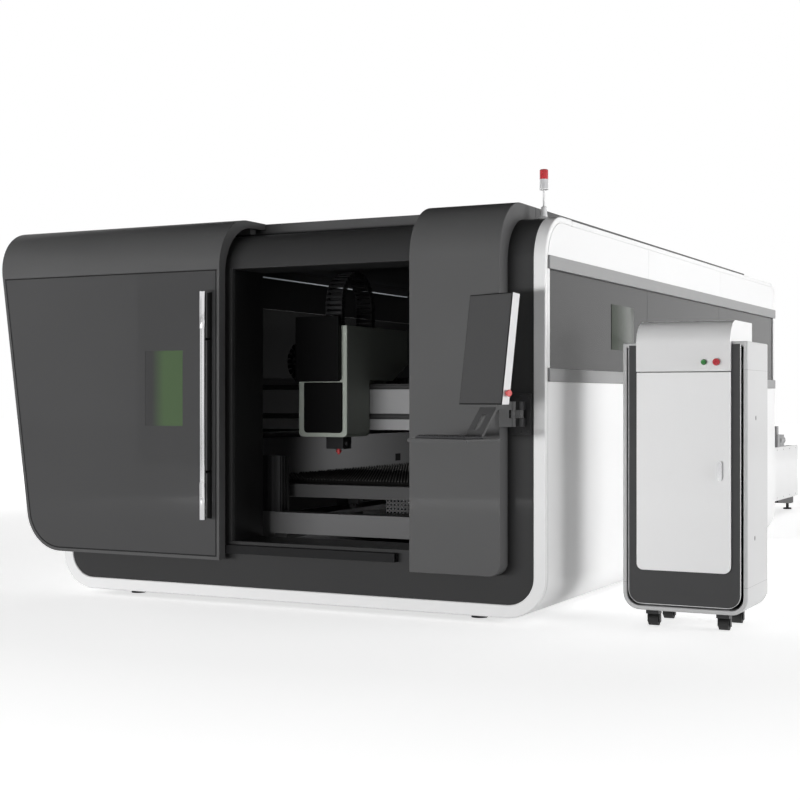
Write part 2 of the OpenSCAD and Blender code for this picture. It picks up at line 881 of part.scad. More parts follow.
module door_window() {
  color([0.2, 0.4, 0.2, 0.6])
    block([view_x0 + slip, -cover_out + 1, view_z0 + slip],
          [view_x0 + view_w - slip, -cover_out + 11, view_z0 + view_h - slip]);
}

module door_handle() {
  sleeve = 217;
  color([0.85, 0.85, 0.86]) translate([door_x1 - bar_in, -cover_out - bar_off, bar_z0]) {
    union() {
      cylinder(h = bar_len, d = bar_d);
      for (z = [0, bar_len - sleeve]) translate([0, 0, z]) cylinder(h = sleeve, d = bar_d + 5);
      for (z = [275, bar_len - 276]) translate([0, 0, z]) rotate([-90, 0, 0]) cylinder(h = bar_off, d = 16);
    }
  }
}

// Gantry and cutting head

module gantry_beam() {
  channel = 15;
  tray_y0 = beam_y + beam_d;
  color(mid_grey) union() {
    along_x(-bed_out, bed_out) difference() {
      translate([beam_y, beam_z0]) square([beam_d, beam_h]);
      translate([beam_y + channel + 14, beam_z0 + 14]) square([beam_d - channel - 28, beam_h - 28]);
      for (z = [68, beam_h - 34]) translate([beam_y - eps, beam_z0 + z]) square([channel + eps, 34 + eps]);
    }
    for (z = [68 + 8, beam_h - 34 + 8])
      block([-bed_in, beam_y + 2, beam_z0 + z], [bed_in, beam_y + channel + eps, beam_z0 + z + 18]);
    block([-bed_in - 200, tray_y0 - eps, beam_top - 15], [300, chain_y + chain_w + 5, beam_top]);
  }
}

module gantry_trucks() {
  color(steel) both_sides() union() {
    block([rail_x - 90, beam_y - 60, rail_top + slip], [bed_out, beam_y + beam_d + 60, beam_z0]);
    translate([bed_out - 90, beam_y + beam_d / 2, beam_top]) {
      translate([-60, -60, 0]) cube([120, 120, 70]);
      translate([0, 0, 70]) cylinder(h = 150, d = 104);
    }
  }
}

// Chain links along a straight run, as shallow grooves across its outer side
module link_grooves(x0, x1, z) {
  pitch = 55;
  for (x = [x0 : pitch : x1]) translate([x, z - 5]) square([5, 10]);
}

module x_cable_chain() {
  bend_x = head_left - chain_reach;
  inner = chain_r - chain_t;
  color(black) along_y(chain_y, chain_y + chain_w) difference() {
    translate([bend_x, beam_top + chain_r]) union() {
      difference() {
        circle(chain_r);
        circle(inner);
        translate([0, -chain_r - eps]) square([chain_r + eps, 2 * chain_r + 2 * eps]);
      }
      translate([0, inner]) square([head_x - bend_x, chain_t]);
      translate([0, -chain_r]) square([240 - bend_x, chain_t]);
    }
    link_grooves(bend_x + 30, head_x - 20, beam_top + 2 * chain_r);
    link_grooves(bend_x + 30, 220, beam_top + chain_t);
    for (a = [100 : 20 : 260]) translate([bend_x, beam_top + chain_r]) rotate(a)
      translate([chain_r - 5, -2.5]) square([10, 5]);
  }
}

module carriage_housing() {
  rear = beam_y + head_back;
  z_over = beam_top + 22;
  chamfer = 220;
  cave_w = block_w + 80;
  color(mid_grey) difference() {
    union() {
      along_y(head_y, carriage_back) translate([head_x, 0]) tub_2d(head_w, head_z0, head_z1, 30);
      along_x(head_left, head_right) polygon([
        [carriage_back - eps, z_over], [rear - chamfer, z_over], [rear, z_over + chamfer / 2],
        [rear, head_z1], [carriage_back - eps, head_z1]
      ]);
      for (y = [beam_y + 30, beam_y + beam_d - 90])
        block([head_left + 20, y, beam_top + slip], [head_right - 20, y + 60, z_over + eps]);
      block([head_x - 60, rear - eps, beam_top + 2 * chain_r + slip], [head_x, chain_y + chain_w, head_z1]);
    }
    translate([block_x, 0, 0])
      block([-cave_w / 2, head_y + 40, head_z0 - eps], [cave_w / 2, carriage_back - 30, 1300]);
  }
}

module carriage_covers() {
  split = 1303;
  color(black) {
    along_y(head_y - 40, head_y) translate([head_x - 20, 0]) tub_2d(head_w - 35, split, head_z1 + 56, 22);
    along_y(head_y - 12, head_y) translate([head_x + 6, 0]) tub_2d(head_w - 73, head_z0 + 26, split - 5, 22);
  }
}

module z_cable_chain() {
  arch_y = head_y + 100 + arch_r;
  spring_z = head_z1 + 130;
  outer = arch_r + chain_t / 2;
  inner = arch_r - chain_t / 2;
  color(black) along_x(block_x - arch_w / 2, block_x + arch_w / 2) difference() {
    union() {
      translate([arch_y, spring_z]) difference() {
        circle(outer);
        circle(inner);
        translate([-outer - eps, -outer - eps]) square([2 * outer + 2 * eps, outer + eps]);
      }
      for (s = [-1, 1]) translate([arch_y + s * arch_r - chain_t / 2, head_z1])
        square([chain_t, spring_z - head_z1]);
    }
    for (a = [10 : 16 : 170]) translate([arch_y, spring_z]) rotate(a)
      translate([outer - 5, -2.5]) square([10, 5]);
  }
}

module cutting_head() {
  y0 = head_y + 90;
  color(black) union() {
    block([block_x - block_w / 2, y0, tip_z + 36], [block_x + block_w / 2, y0 + 110, 1150]);
    block([block_x - 45, y0 + 110 - eps, 1000], [block_x + 45, carriage_back - 30 - slip, 1140]);
    translate([block_x + block_w / 2 - eps, y0 + 40, tip_z + 72]) rotate([0, 90, 0]) cylinder(h = 16, d = 26);
  }
}

module nozzle() {
  color([0.72, 0.2, 0.22]) translate([block_x, head_y + 145, tip_z]) rotate_extrude() polygon([
    [0, 0], [5, 0], [15, 14], [19, 16], [19, 24], [14, 26], [14, 36], [0, 36]
  ]);
}

// Operator console

module knuckle(x, y, level) {
  translate([x, y, knuckle_z + level * knuckle_h]) cylinder(h = knuckle_h, r = knuckle_r);
}

// A hinge pin with the knuckle above and below the middle one
module clevis(x, y) {
  knuckle(x, y, 0);
  knuckle(x, y, 2);
  translate([x, y, knuckle_z]) cylinder(h = 3 * knuckle_h, r = pin_r);
}

module console_hinge_plate() {
  color(black) union() {
    block([cover_x1 + 11, -10, knuckle_z - 44], [cover_x1 + 136, 0, knuckle_top + 42]);
    clevis(link_x, -link_y);
    for (level = [0, 2])
      translate([link_x, 0, knuckle_z + level * knuckle_h]) block([-14, -link_y, 0], [14, -9, knuckle_h]);
  }
}

module console_link() {
  ends = [[link_x, -link_y], [pivot_x, pivot_y]];
  web = 0.57 * knuckle_r;
  middle = knuckle_z + knuckle_h + slip;
  color(steel) translate([0, 0, middle]) linear_extrude(knuckle_h - 2 * slip) difference() {
    union() {
      for (p = ends) translate(p) circle(knuckle_r);
      translate(ends[0]) rotate(-90 - link_a) translate([pin_r + 2, -web])
        square([link_len - 2 * pin_r - 4, 2 * web]);
    }
    for (p = ends) translate(p) circle(pin_r + pin_gap);
  }
}

// The console's own frame: origin on its hinge pin, x along the monitor, -y towards the operator
module console_frame() translate([pivot_x, pivot_y, 0]) rotate(-console_yaw) children();

module console_arm() {
  arm_z0 = knuckle_z + 2 * knuckle_h;
  plate_z = monitor_z - 14;
  slope = atan2(plate_z - tray_z - tray_t, 110);
  strut = 110 / cos(slope);
  color(black) union() {
    translate([pivot_x, pivot_y, 0]) {
      clevis(0, 0);
      rotate(-console_yaw) {
        for (level = [0, 2])
          block([-14, -60, knuckle_z + level * knuckle_h], [14, 0, knuckle_z + (level + 1) * knuckle_h]);
        block([-14, -110, knuckle_z], [14, -knuckle_r - 14, knuckle_top]);
        block([-14, -205, arm_z0], [14, -100, plate_z]);
        block([-80, monitor_y + 4, plate_z], [126, -190, monitor_z]);
        block([tray_x1 - tray_w, tray_y1 - tray_d, tray_z], [tray_x1, tray_y1, tray_z + 8]);
        block([tray_x1 - tray_w, tray_y1 - tray_d, tray_z - 12], [tray_x1, tray_y1 - tray_d + 6, tray_z]);
        difference() {
          translate([0, -212, plate_z + 2]) rotate([slope, 0, 0])
            translate([-20, -strut - 26, -14]) cube([120, strut + 26, 14]);
          translate([0, -212, plate_z + 2]) rotate([slope, 0, 0])
            translate([25, -strut * 0.8, -15]) cube([30, strut * 0.55, 16]);
          block([-200, -500, tray_z - 200], [300, 0, tray_z]);
        }
      }
    }
  }
}

// The monitor's own frame: origin at the middle of its lower front edge, leaning back
module monitor_frame() console_frame()
  translate([13, monitor_y, monitor_z]) rotate([-monitor_tilt, 0, 0]) children();

module monitor_housing() {
  heel = monitor_t * tan(monitor_tilt);
  foot_t = monitor_t * 0.98;
  color(white) monitor_frame() difference() {
    along_x(-monitor_w / 2, monitor_w / 2) polygon([
      [0, 0], [foot_t, foot_t * tan(monitor_tilt)], [monitor_t, heel + 4],
      [monitor_t, monitor_h], [0, monitor_h]
    ]);
    stop_at() translate([0, 0, -14]) cylinder(h = 15, r = stop_r + pin_gap);
  }
}

// Where the stop button sits on the monitor's right edge, with z pointing out of it
module stop_at() translate([monitor_w / 2, monitor_t * 0.55, 62]) rotate([0, 90, 0]) children();

module screen() {
  edge = 5;
  color([0.16, 0.16, 0.17]) monitor_frame()
    block([-monitor_w / 2 + edge, -5, edge], [monitor_w / 2 - edge, 0, monitor_h - edge]);
}

module estop_button() {
  color([0.85, 0.12, 0.12]) monitor_frame() stop_at() rotate_extrude()
    polygon([[0, -6], [stop_r, -6], [stop_r, 9], [17, 11], [18, 16], [15, 21], [0, 23]]);
}

// Laser source cabinet

module cab_tub(w, z0, z1, r) translate([cab_x, 0]) tub_2d(w, z0, z1, r);

module cabinet_shell() {
  color(white) difference() {
    along_y(cab_y0, cab_y1) cab_tub(cab_w, cab_z0, cab_z1, cab_r);
    along_y(cab_y0 - eps, cab_y1 - cab_t)
      cab_tub(cab_w - 2 * cab_t, cab_z0 + cab_t, cab_z1 - cab_t, cab_r - cab_t);
  }
}

module cabinet_front_frame() {
  border = 34;
  side = (cab_w - cab_door_w) / 2 + 14;
  color(dark) along_y(cab_y0 - 8, cab_y0) difference() {
    cab_tub(cab_w - 2 * border, cab_z0 + border, cab_z1 - 14, cab_r - 18);
    cab_tub(cab_w - 2 * side, cab_door_z0 + 30, cab_z1 - cab_t, 30);
  }
}

module cabinet_hood() {
  x0 = cab_x - cab_door_w / 2;
  x1 = cab_x + cab_door_w / 2;
  front = cab_y0 - 8 - cab_door_t;
  color(white) difference() {
    along_x(x0, x1) difference() {
      hood_2d(front, cab_y1 - 8, cab_door_z1 + 4, cab_top, cab_hood_r);
      translate([cab_y0 - 8, 0]) square([cab_d + 8, cab_z1]);
    }
    along_x(x0 + cab_t, x1 - cab_t) translate([cab_y0 + 60, cab_z1 - eps])
      square([cab_d - 120, cab_top - cab_z1 - cab_t + eps]);
    for (b = [[green_x, 12], [red_x, 14]])
      translate([cab_x + b[0], front - eps, button_z]) rotate([-90, 0, 0]) cylinder(h = 18, r = b[1]);
  }
}

module laser_source() {
  color([0.75, 0.76, 0.78])
    block([cab_x0 + cab_r + 2, cab_y0 + 50, cab_z0 + cab_t],
      [cab_x1 - cab_r - 2, cab_y1 - cab_t - 20, source_top]);
}

// The door's left edge is a half round about its hinge axis, so that it turns in place
module cabinet_door() {
  back = cab_y0 - 8 - slip;
  front = cab_y0 - 8 - cab_door_t;
  r = (back - front) / 2;
  x0 = cab_x - cab_door_w / 2;
  color(white) intersection() {
    along_y(front - eps, back + eps) cab_tub(cab_door_w, cab_door_z0, cab_door_z1, 36);
    translate([0, 0, cab_door_z0 - eps]) linear_extrude(cab_door_z1 - cab_door_z0 + 2 * eps) {
      translate([x0 + r, front + r]) circle(r);
      translate([x0 + r, front]) square([cab_door_w - r, 2 * r]);
    }
  }
}

module cabinet_latch() {
  x = cab_x + cab_door_w / 2 - 52;
  y = cab_y0 - 8 - cab_door_t - slip;
  color([0.9, 0.9, 0.9]) union() {
    along_y(y - 12, y) translate([x, 0]) {
      translate([-12, 789]) square([24, 76]);
      for (z = [789, 865]) translate([0, z]) circle(12);
    }
  }
}

module button(x, r, cap_r, out) {
  y = cab_y0 - 8 - cab_door_t;
  translate([cab_x + x, y + 10, button_z]) rotate([90, 0, 0]) {
    cylinder(h = 16, r = r - pin_gap);
    translate([0, 0, 16]) cylinder(h = out, r1 = cap_r, r2 = cap_r - 3);
  }
}

module green_button() color([0.1, 0.45, 0.12]) button(green_x, 12, 15, 7);
module red_button() color([0.8, 0.1, 0.15]) button(red_x, 14, 19, 12);

// A caster that swivels under the cabinet: sx is -1 on the left, row is 0 at the front
module caster_at(sx, row) translate([cab_x + sx * caster_dx, caster_y[row], 0]) children();

module caster_fork(sx, row) {
  cheek = wheel_w / 2 + 3;
  color(black) caster_at(sx, row) union() {
    translate([0, 0, cab_z0 - 9]) cylinder(h = 9 - slip, r = 24);
    block([-cheek - 5, -24, 2 * wheel_r + 4], [cheek + 5, trail + 20, cab_z0 - 8]);
    for (s = [-1, 1]) translate([s > 0 ? cheek : -cheek - 5, trail - 14, wheel_r - 12])
      cube([5, 28, wheel_r + 18]);
    translate([-cheek - 5, trail, wheel_r]) rotate([0, 90, 0]) cylinder(h = 2 * cheek + 10, r = 5);
  }
}

module caster_wheel(sx, row) {
  color(black) caster_at(sx, row) translate([-wheel_w / 2, trail, wheel_r]) rotate([0, 90, 0]) difference() {
    cylinder(h = wheel_w, r = wheel_r);
    translate([0, 0, -eps]) cylinder(h = wheel_w + 2 * eps, r = 5 + pin_gap);
  }
}

place() bed_frame();
place() bed_guide_rails();
place() levelling_feet();
place() front_fascia();
place() front_rim();
place() opening_frame();
place() right_front_cover();
place() upper_side_panels();
place() window_trims();
place() side_windows();
place() lower_side_panels();
place() roof_deck();
place() raised_roof();
place() rear_wall();
place() light_strips();
place() beacon_stem();
place() beacon_lens_red();
place() beacon_lens_clear();
place() console_hinge_plate();
place() pallet_rails();
place() exchange_frame();
place() exchange_panels();
place() exchange_drive();
place() cabinet_shell();
place() cabinet_front_frame();
place() cabinet_hood();
place() laser_source();
place() caster_fork(-1, 0);  // caster_fork_fl
place() caster_fork(1, 0);  // caster_fork_fr
place() caster_fork(-1, 1);  // caster_fork_rl
place() caster_fork(1, 1);  // caster_fork_rr
place() caster_wheel(-1, 0);  // caster_wheel_fl
place() caster_wheel(1, 0);  // caster_wheel_fr
place() caster_wheel(-1, 1);  // caster_wheel_rl
place() caster_wheel(1, 1);  // caster_wheel_rr
place() door_shell();
place() door_panel();
place() door_window();
place() door_handle();
place() gantry_beam();
place() gantry_trucks();
place() x_cable_chain();
place() carriage_housing();
place() carriage_covers();
place() z_cable_chain();
place() cutting_head();
place() nozzle();
place() console_link();
place() console_arm();
place() monitor_housing();
place() screen();
place() estop_button();
place() cabinet_door();
place() cabinet_latch();
place() green_button();
place() red_button();
place() upper_pallet();
place() upper_slats();
place() lower_pallet();
place() lower_slats();
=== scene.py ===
# %% [markdown]
# # An enclosed laser cutting machine
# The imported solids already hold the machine's true sizes and joints. This lesson dresses them: it rounds the
# sheet-metal edges, paints every surface, and adds the small pieces that make a machine look real, such as
# saw-tooth slats, cable chain links, screws, a keyboard and light strips.

# %% Load the solids
import json
import math

import bmesh
import bpy
from mathutils import Matrix, Vector


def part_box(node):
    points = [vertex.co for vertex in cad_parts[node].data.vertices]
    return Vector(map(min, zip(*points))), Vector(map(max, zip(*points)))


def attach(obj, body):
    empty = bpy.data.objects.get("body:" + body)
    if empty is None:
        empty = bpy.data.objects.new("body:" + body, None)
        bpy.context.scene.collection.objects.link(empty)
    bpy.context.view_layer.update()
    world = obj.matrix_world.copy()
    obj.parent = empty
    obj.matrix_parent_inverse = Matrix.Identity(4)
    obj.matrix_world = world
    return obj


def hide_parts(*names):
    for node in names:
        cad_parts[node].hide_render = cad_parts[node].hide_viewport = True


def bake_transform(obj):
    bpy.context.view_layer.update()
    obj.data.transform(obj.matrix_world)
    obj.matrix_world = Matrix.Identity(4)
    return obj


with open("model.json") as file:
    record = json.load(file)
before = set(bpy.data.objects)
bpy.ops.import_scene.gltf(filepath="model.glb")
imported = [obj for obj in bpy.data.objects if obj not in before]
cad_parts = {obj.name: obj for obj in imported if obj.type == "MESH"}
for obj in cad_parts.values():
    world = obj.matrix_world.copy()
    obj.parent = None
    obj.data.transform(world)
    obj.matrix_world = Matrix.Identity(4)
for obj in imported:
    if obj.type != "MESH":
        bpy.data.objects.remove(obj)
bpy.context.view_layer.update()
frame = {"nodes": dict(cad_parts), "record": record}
nodes = frame["nodes"]
node_body = {n: b for b, names in frame["record"]["behaviour"]["bodies"].items() for n in names}
node_slot = {s["node"]: s["material_slot"] for s in frame["record"]["subparts"]}
print("solids:", len(nodes), "bodies:", len(set(node_body.values())))

# %% [markdown]
# ## A ruler on the machine
# Places are easier to read on the machine itself: millimetres from its centre plane, its front face and the
# floor. The front face's box gives where that ruler starts in the shared frame.

# %% The machine's own ruler
MM = 0.001
face_low, face_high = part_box("front_fascia")
centre_x = (face_low[0] + face_high[0]) / 2
face_y = face_low[1]


def at(x, y, z):
    """A place on the machine, in millimetres, as a point of the shared frame."""
    return Vector((centre_x + x * MM, face_y + y * MM, z * MM))


def ruler_box(node):
    """A solid's lowest and highest corners on the machine's ruler."""
    low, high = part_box(node)
    shift = Vector((centre_x, face_y, 0))
    return (Vector(low) - shift) / MM, (Vector(high) - shift) / MM


print("machine centre and face:", round(centre_x, 4), round(face_y, 4))

# %% [markdown]
# ## Camera
# The photograph's upright edges stay parallel, so its camera is level. Where the edges of the front and of
# the side meet the horizon gives the lens and the turn of the view.

# %% Camera
EYE = (4380, -7202, 1189)
TURN = 26.8
LENS = 65.9

camera_data = bpy.data.cameras.new("photo_camera")
camera_data.lens = LENS
camera_data.sensor_width = 36
camera_data.clip_end = 100
camera = bpy.data.objects.new("photo_camera", camera_data)
camera.location = at(*EYE)
camera.rotation_euler = (math.radians(90), 0, math.radians(TURN))
bpy.context.scene.collection.objects.link(camera)
bpy.context.scene.camera = camera
print("camera", [round(c, 3) for c in camera.location])

# %% [markdown]
# ## Shader maths as plain expressions
# A shader could be wired node by node, but a formula is easier to read. `Wire` holds one output socket, and
# + - * on it add Math nodes, also with a plain number on the left.


# %% Wires
class Wire:
    """One output socket of a node tree."""

    def __init__(self, wiring, socket):
        self.wiring = wiring
        self.socket = socket

    def math(self, operation, a, b=0.0):
        return self.wiring.add("ShaderNodeMath", {"operation": operation}, {0: a, 1: b})

    def __add__(self, other):
        return self.math("ADD", self, other)

    def __sub__(self, other):
        return self.math("SUBTRACT", self, other)

    def __rsub__(self, other):
        return self.math("SUBTRACT", other, self)

    def __mul__(self, other):
        return self.math("MULTIPLY", self, other)

    def clamped(self):
        wire = self.math("ADD", self, 0.0)
        wire.socket.node.use_clamp = True
        return wire

    __radd__ = __add__
    __rmul__ = __mul__


print("wires ready")

# %% [markdown]
# ## A node tree in a few words
# `Wiring` is a node tree whose `add` makes any node from its type, its settings and its sockets. `Finish` is
# the wiring of one material around one Principled shader, with the few patterns that the finishes here share.


# %% Wiring and finishes
class Wiring:
    """A node tree that is written as expressions."""

    def __init__(self, tree):
        self.tree = tree

    def add(self, kind, settings=None, sockets=None, out=0):
        node = self.tree.nodes.new(kind)
        for key, value in (settings or {}).items():
            setattr(node, key, value)
        for key, value in (sockets or {}).items():
            self.plug(node.inputs[key], value)
        return Wire(self, node.outputs[out])

    def plug(self, socket, value):
        if isinstance(value, Wire):
            self.tree.links.new(value.socket, socket)
        else:
            socket.default_value = value


class Finish(Wiring):
    """A material with one Principled shader."""

    def __init__(self, name):
        self.material = bpy.data.materials.new(name)
        self.material.use_nodes = True
        super().__init__(self.material.node_tree)
        self.shader = next(n for n in self.tree.nodes if n.type == "BSDF_PRINCIPLED")
        self.place = self.add("ShaderNodeTexCoord", out="Object")

    def set(self, **values):
        for key, value in values.items():
            self.plug(self.shader.inputs[key.replace("_", " ")], value)

    def noise(self, scale, detail=3.0, stretch=(1, 1, 1)):
        """Cloudy noise from 0 to 1, with about `scale` blobs to a metre."""
        mapped = self.add("ShaderNodeMapping", sockets={"Vector": self.place, "Scale": stretch})
        return self.add("ShaderNodeTexNoise", sockets={"Vector": mapped, "Scale": scale, "Detail": detail})

    def blend(self, factor, first, second):
        """A colour between two colours."""
        return self.add(
            "ShaderNodeMix", {"data_type": "RGBA"}, {"Factor": factor, 6: first, 7: second}, out=2
        )

    def bump(self, height, distance, strength):
        self.set(Normal=self.add(
            "ShaderNodeBump", sockets={"Height": height, "Distance": distance, "Strength": strength}
        ))

    def axis(self, name):
        """One coordinate of the surface point, in metres."""
        return self.add("ShaderNodeSeparateXYZ", sockets={"Vector": self.place}, out=name)


def rgba(colour, gain=1.0):
    """A colour times a gain, with its alpha."""
    return (*(min(1.0, c * gain) for c in colour), 1)


print("shader tools ready")

# %% [markdown]
# ## Paints
# Machine panels are powder coated: a fine orange peel catches the light, and the colour drifts a little from
# sheet to sheet. The same recipe makes the dark front, the white sides and the greys with other numbers.


# %% Painted sheet metal
LOCK_R, LOCK_BLACK = 0.013, (0.02, 0.02, 0.02, 1)
PEEL, PEEL_SCALE = 0.000012, 520.0
SEAM_EDGE, SEAM_AND_SHADE_DARK, MARK_EDGE = 700.0, 0.15, 900.0


def bordered(finish, tone, node, width, corner, colour):
    """Another colour around the sides and the foot of a solid's front, with round lower corners."""
    low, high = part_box(node)
    across = finish.axis("X") - (low[0] + high[0]) / 2
    out_x = across.math("ABSOLUTE", across) - ((high[0] - low[0]) / 2 - width - corner)
    out_x = out_x.math("MAXIMUM", out_x, 0.0)
    out_z = (low[2] + width + corner) - finish.axis("Z")
    out_z = out_z.math("MAXIMUM", out_z, 0.0)
    square = out_x * out_x + out_z * out_z
    off = square.math("SQRT", square) - corner
    return finish.blend((off * MARK_EDGE).clamped(), tone, rgba(colour))


def paint(name, colour, rough, coat=0.0, drift=0.06, specular=0.5, seam_and_shade_bands=(), locks=(), border=()):
    """Powder coat.

    Dark bands, as (height, half width), are hairline joints, and painted shade in grooves. `locks` are
    places of flush dark locks. A `border` is what `bordered` takes after the tone.
    """
    finish = Finish(name)
    cloud = finish.noise(1.3, 2.0)
    grain = finish.noise(PEEL_SCALE, 2.0)
    tone = finish.blend(cloud, rgba(colour, 1 - drift), rgba(colour, 1 + drift))
    # Dark bands: hairline joints, and painted shade in grooves.
    for height, half in seam_and_shade_bands:
        off = finish.axis("Z") - height
        line = ((half - off.math("ABSOLUTE", off)) * SEAM_EDGE).clamped()
        tone = finish.blend(line, tone, rgba(colour, SEAM_AND_SHADE_DARK))
    for lock in locks:
        away = finish.add(
            "ShaderNodeVectorMath", {"operation": "DISTANCE"}, {0: finish.place, 1: lock}, out="Value"
        )
        tone = finish.blend(((LOCK_R - away) * MARK_EDGE).clamped(), tone, LOCK_BLACK)
    if border:
        tone = bordered(finish, tone, *border)
    finish.set(
        Base_Color=tone,
        Roughness=finish.noise(7.0) * 0.06 + (rough - 0.03),
        Coat_Weight=coat,
        Coat_Roughness=0.04,
        Specular_IOR_Level=specular,
    )
    finish.bump(grain, PEEL, 0.4)
    return finish.material


print("powder coat ready")

# %% [markdown]
# ## The machine's paints
# The front is dark, the sides are white and the inside is grey. Fascia, door, hoods and cover are copies of
# one dark paint, and panels, cabinet door, cabinet hood and cabinet shell are copies of one white paint;
# each copy is set lighter or darker as painted light and shade. The cabinet's seams, locks and white border
# are drawn in its paint, because they are flush with the sheet.

# %% The machine's paints
FRONT_COAT = {"rough": 0.45, "coat": 0.08, "specular": 0.05}
WHITE_COAT = {"rough": 0.3, "coat": 0.15, "drift": 0.008}
BEAM_COAT = {"rough": 0.42, "drift": 0.03, "specular": 0.2}
HAIRLINE = 0.0012
SHELL_SEAMS = ((1.342, HAIRLINE), (0.234, HAIRLINE))
SHELL_LOCKS = ((388, 1096), (366, 476))
# Painted shade: dark bands on the gantry beam's front, in a recess near its top and in a groove lower down.
BEAM_GROOVE_SHADE = ((1.0855, 0.0175), (1.273, 0.017))

# Painted light and shade: one dark paint in four greys, lighter on door, hood and cover than on the fascia.
dark_front = paint("dark_front_paint", (0.046, 0.046, 0.0465), **FRONT_COAT)
dark_door = paint("dark_door_paint", (0.064, 0.064, 0.065), 0.42, coat=0.18, specular=0.08)
dark_hood = paint("dark_hood_paint", (0.098, 0.098, 0.099), **FRONT_COAT)
dark_cover = paint("dark_cover_paint", (0.104, 0.104, 0.105), **FRONT_COAT)
lining_black = paint("lining_black_paint", (0.012, 0.012, 0.0125), 0.5, specular=0.2)
# Painted light and shade: one white paint in several greys, darkest on the cabinet shell.
white_panel = paint("white_panel_paint", (0.83, 0.83, 0.832), **WHITE_COAT)
white_cabinet = paint("white_cabinet_paint", (0.85, 0.85, 0.852), **WHITE_COAT)
white_hood = paint("white_hood_paint", (0.76, 0.76, 0.762), **WHITE_COAT)
shell_side = (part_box("cabinet_shell")[1][0] - centre_x) / MM
white_shell = paint(
    "white_shell_paint", (0.52, 0.52, 0.522), **WHITE_COAT,
    seam_and_shade_bands=SHELL_SEAMS, locks=[at(shell_side, y, z) for y, z in SHELL_LOCKS],
)
trim_grey = paint("trim_grey_paint", (0.3, 0.3, 0.302), 0.4, drift=0.02, specular=0.25)
beam_grey = paint("beam_grey_paint", (0.34, 0.34, 0.345), **BEAM_COAT)
# The gantry beam's paint carries the painted groove shade.
beam_groove_shaded = paint("beam_banded_paint", (0.34, 0.34, 0.345), **BEAM_COAT, seam_and_shade_bands=BEAM_GROOVE_SHADE)
bed_grey = paint("bed_grey_paint", (0.15, 0.15, 0.152), 0.45, drift=0.05, specular=0.2)
carriage_grey = paint("carriage_grey_paint", (0.4, 0.432, 0.388), 0.45, drift=0.03, specular=0.2)
black_coat = paint("black_powder_coat", (0.02, 0.02, 0.021), 0.42, specular=0.4)
tray_grey = paint("console_arm_paint", (0.075, 0.075, 0.076), 0.34, specular=0.3)
pallet_dark = paint("pallet_paint", (0.075, 0.075, 0.076), 0.45, specular=0.2)
link_black = paint("hinge_link_coat", (0.02, 0.02, 0.021), 0.2, coat=0.8)
# The border's white is set lighter than the shell's paint, as painted light.
frame_dark = paint(
    "cabinet_frame_paint", (0.05, 0.05, 0.051), 0.38, specular=0.3,
    border=("cabinet_shell", 0.038, 0.065, (0.74, 0.74, 0.742)),
)
print("paints:", len(bpy.data.materials))

# %% [markdown]
# ## Metals
# Ground guide ways show fine lines along their length, so their noise is stretched. The slats are cut from
# plain plate: dark mill scale on the faces, and pale burnt edges where the beam has hit their points. Chrome
# is nearly smooth, and the nozzle is a reddish copper. Noise on colour and gloss does all of it.


# %% Metals
def ground_steel(name, colour, rough, stretch):
    """Steel with fine lines along the axis that `stretch` keeps small."""
    finish = Finish(name)
    lines = finish.noise(60.0, 4.0, stretch)
    stain = finish.noise(5.0, 4.0)
    finish.set(
        Base_Color=finish.blend(stain, rgba(colour, 0.75), rgba(colour, 1.1)),
        Metallic=1.0,
        Roughness=lines * 0.22 + (rough - 0.11),
    )
    finish.bump(lines, 0.00005, 0.5)
    return finish.material


def slat_plate(name, root_z, tip_z):
    """Dark plate that turns pale near the height of the tips."""
    finish = Finish(name)
    scale = finish.noise(38.0, 6.0)
    spatter = finish.noise(240.0, 2.0)
    height = (finish.axis("Z") - root_z) * (1 / (tip_z - root_z))
    burnt = (height * 8.0 + scale * 0.6 - 7.3).clamped()
    finish.set(
        Base_Color=finish.blend(burnt, (0.008, 0.0078, 0.0076, 1), (0.13, 0.128, 0.124, 1)),
        Metallic=0.3,
        Specular_IOR_Level=0.15,
        Roughness=0.66 - burnt * 0.2,
    )
    finish.bump(scale + spatter, 0.0006, 0.7)
    return finish.material


steel_along = ground_steel("ground_steel_along", (0.5, 0.5, 0.51), 0.34, (8, 0.4, 8))
source_sheet = ground_steel("source_sheet", (0.6, 0.61, 0.63), 0.36, (0.5, 6, 6))

chrome_finish = Finish("polished_chrome")
chrome_finish.set(
    Base_Color=(0.72, 0.72, 0.73, 1),
    Metallic=1.0,
    Roughness=chrome_finish.noise(30.0) * 0.03 + 0.1,
)
chrome = chrome_finish.material

copper_finish = Finish("nozzle_copper")
copper_finish.set(
    Base_Color=copper_finish.blend(copper_finish.noise(300.0), (0.5, 0.05, 0.06, 1), (0.66, 0.1, 0.1, 1)),
    Metallic=0.5,
    Roughness=copper_finish.noise(400.0) * 0.1 + 0.25,
)
nozzle_copper = copper_finish.material
print("paints and metals:", len(bpy.data.materials))

# %% [markdown]
# ## Plastics, rubber and panes
# Moulded plastic has a fine spark-eroded grain. The safety panes are tinted all through; the one in the door
# gets painted shade that darkens it towards its left edge, next to the dark frame.


# %% Plastics and panes
def plastic(name, colour, rough, grain=900.0, coat=0.0):
    """Moulded plastic or rubber with a fine grain."""
    finish = Finish(name)
    finish.set(
        Base_Color=finish.blend(finish.noise(9.0), rgba(colour, 0.93), rgba(colour, 1.07)),
        Roughness=finish.noise(40.0) * 0.1 + (rough - 0.05),
        Coat_Weight=coat,
    )
    finish.bump(finish.noise(grain, 1.0), 0.00005, 0.5)
    return finish.material


LENS_RIBS = 150.0


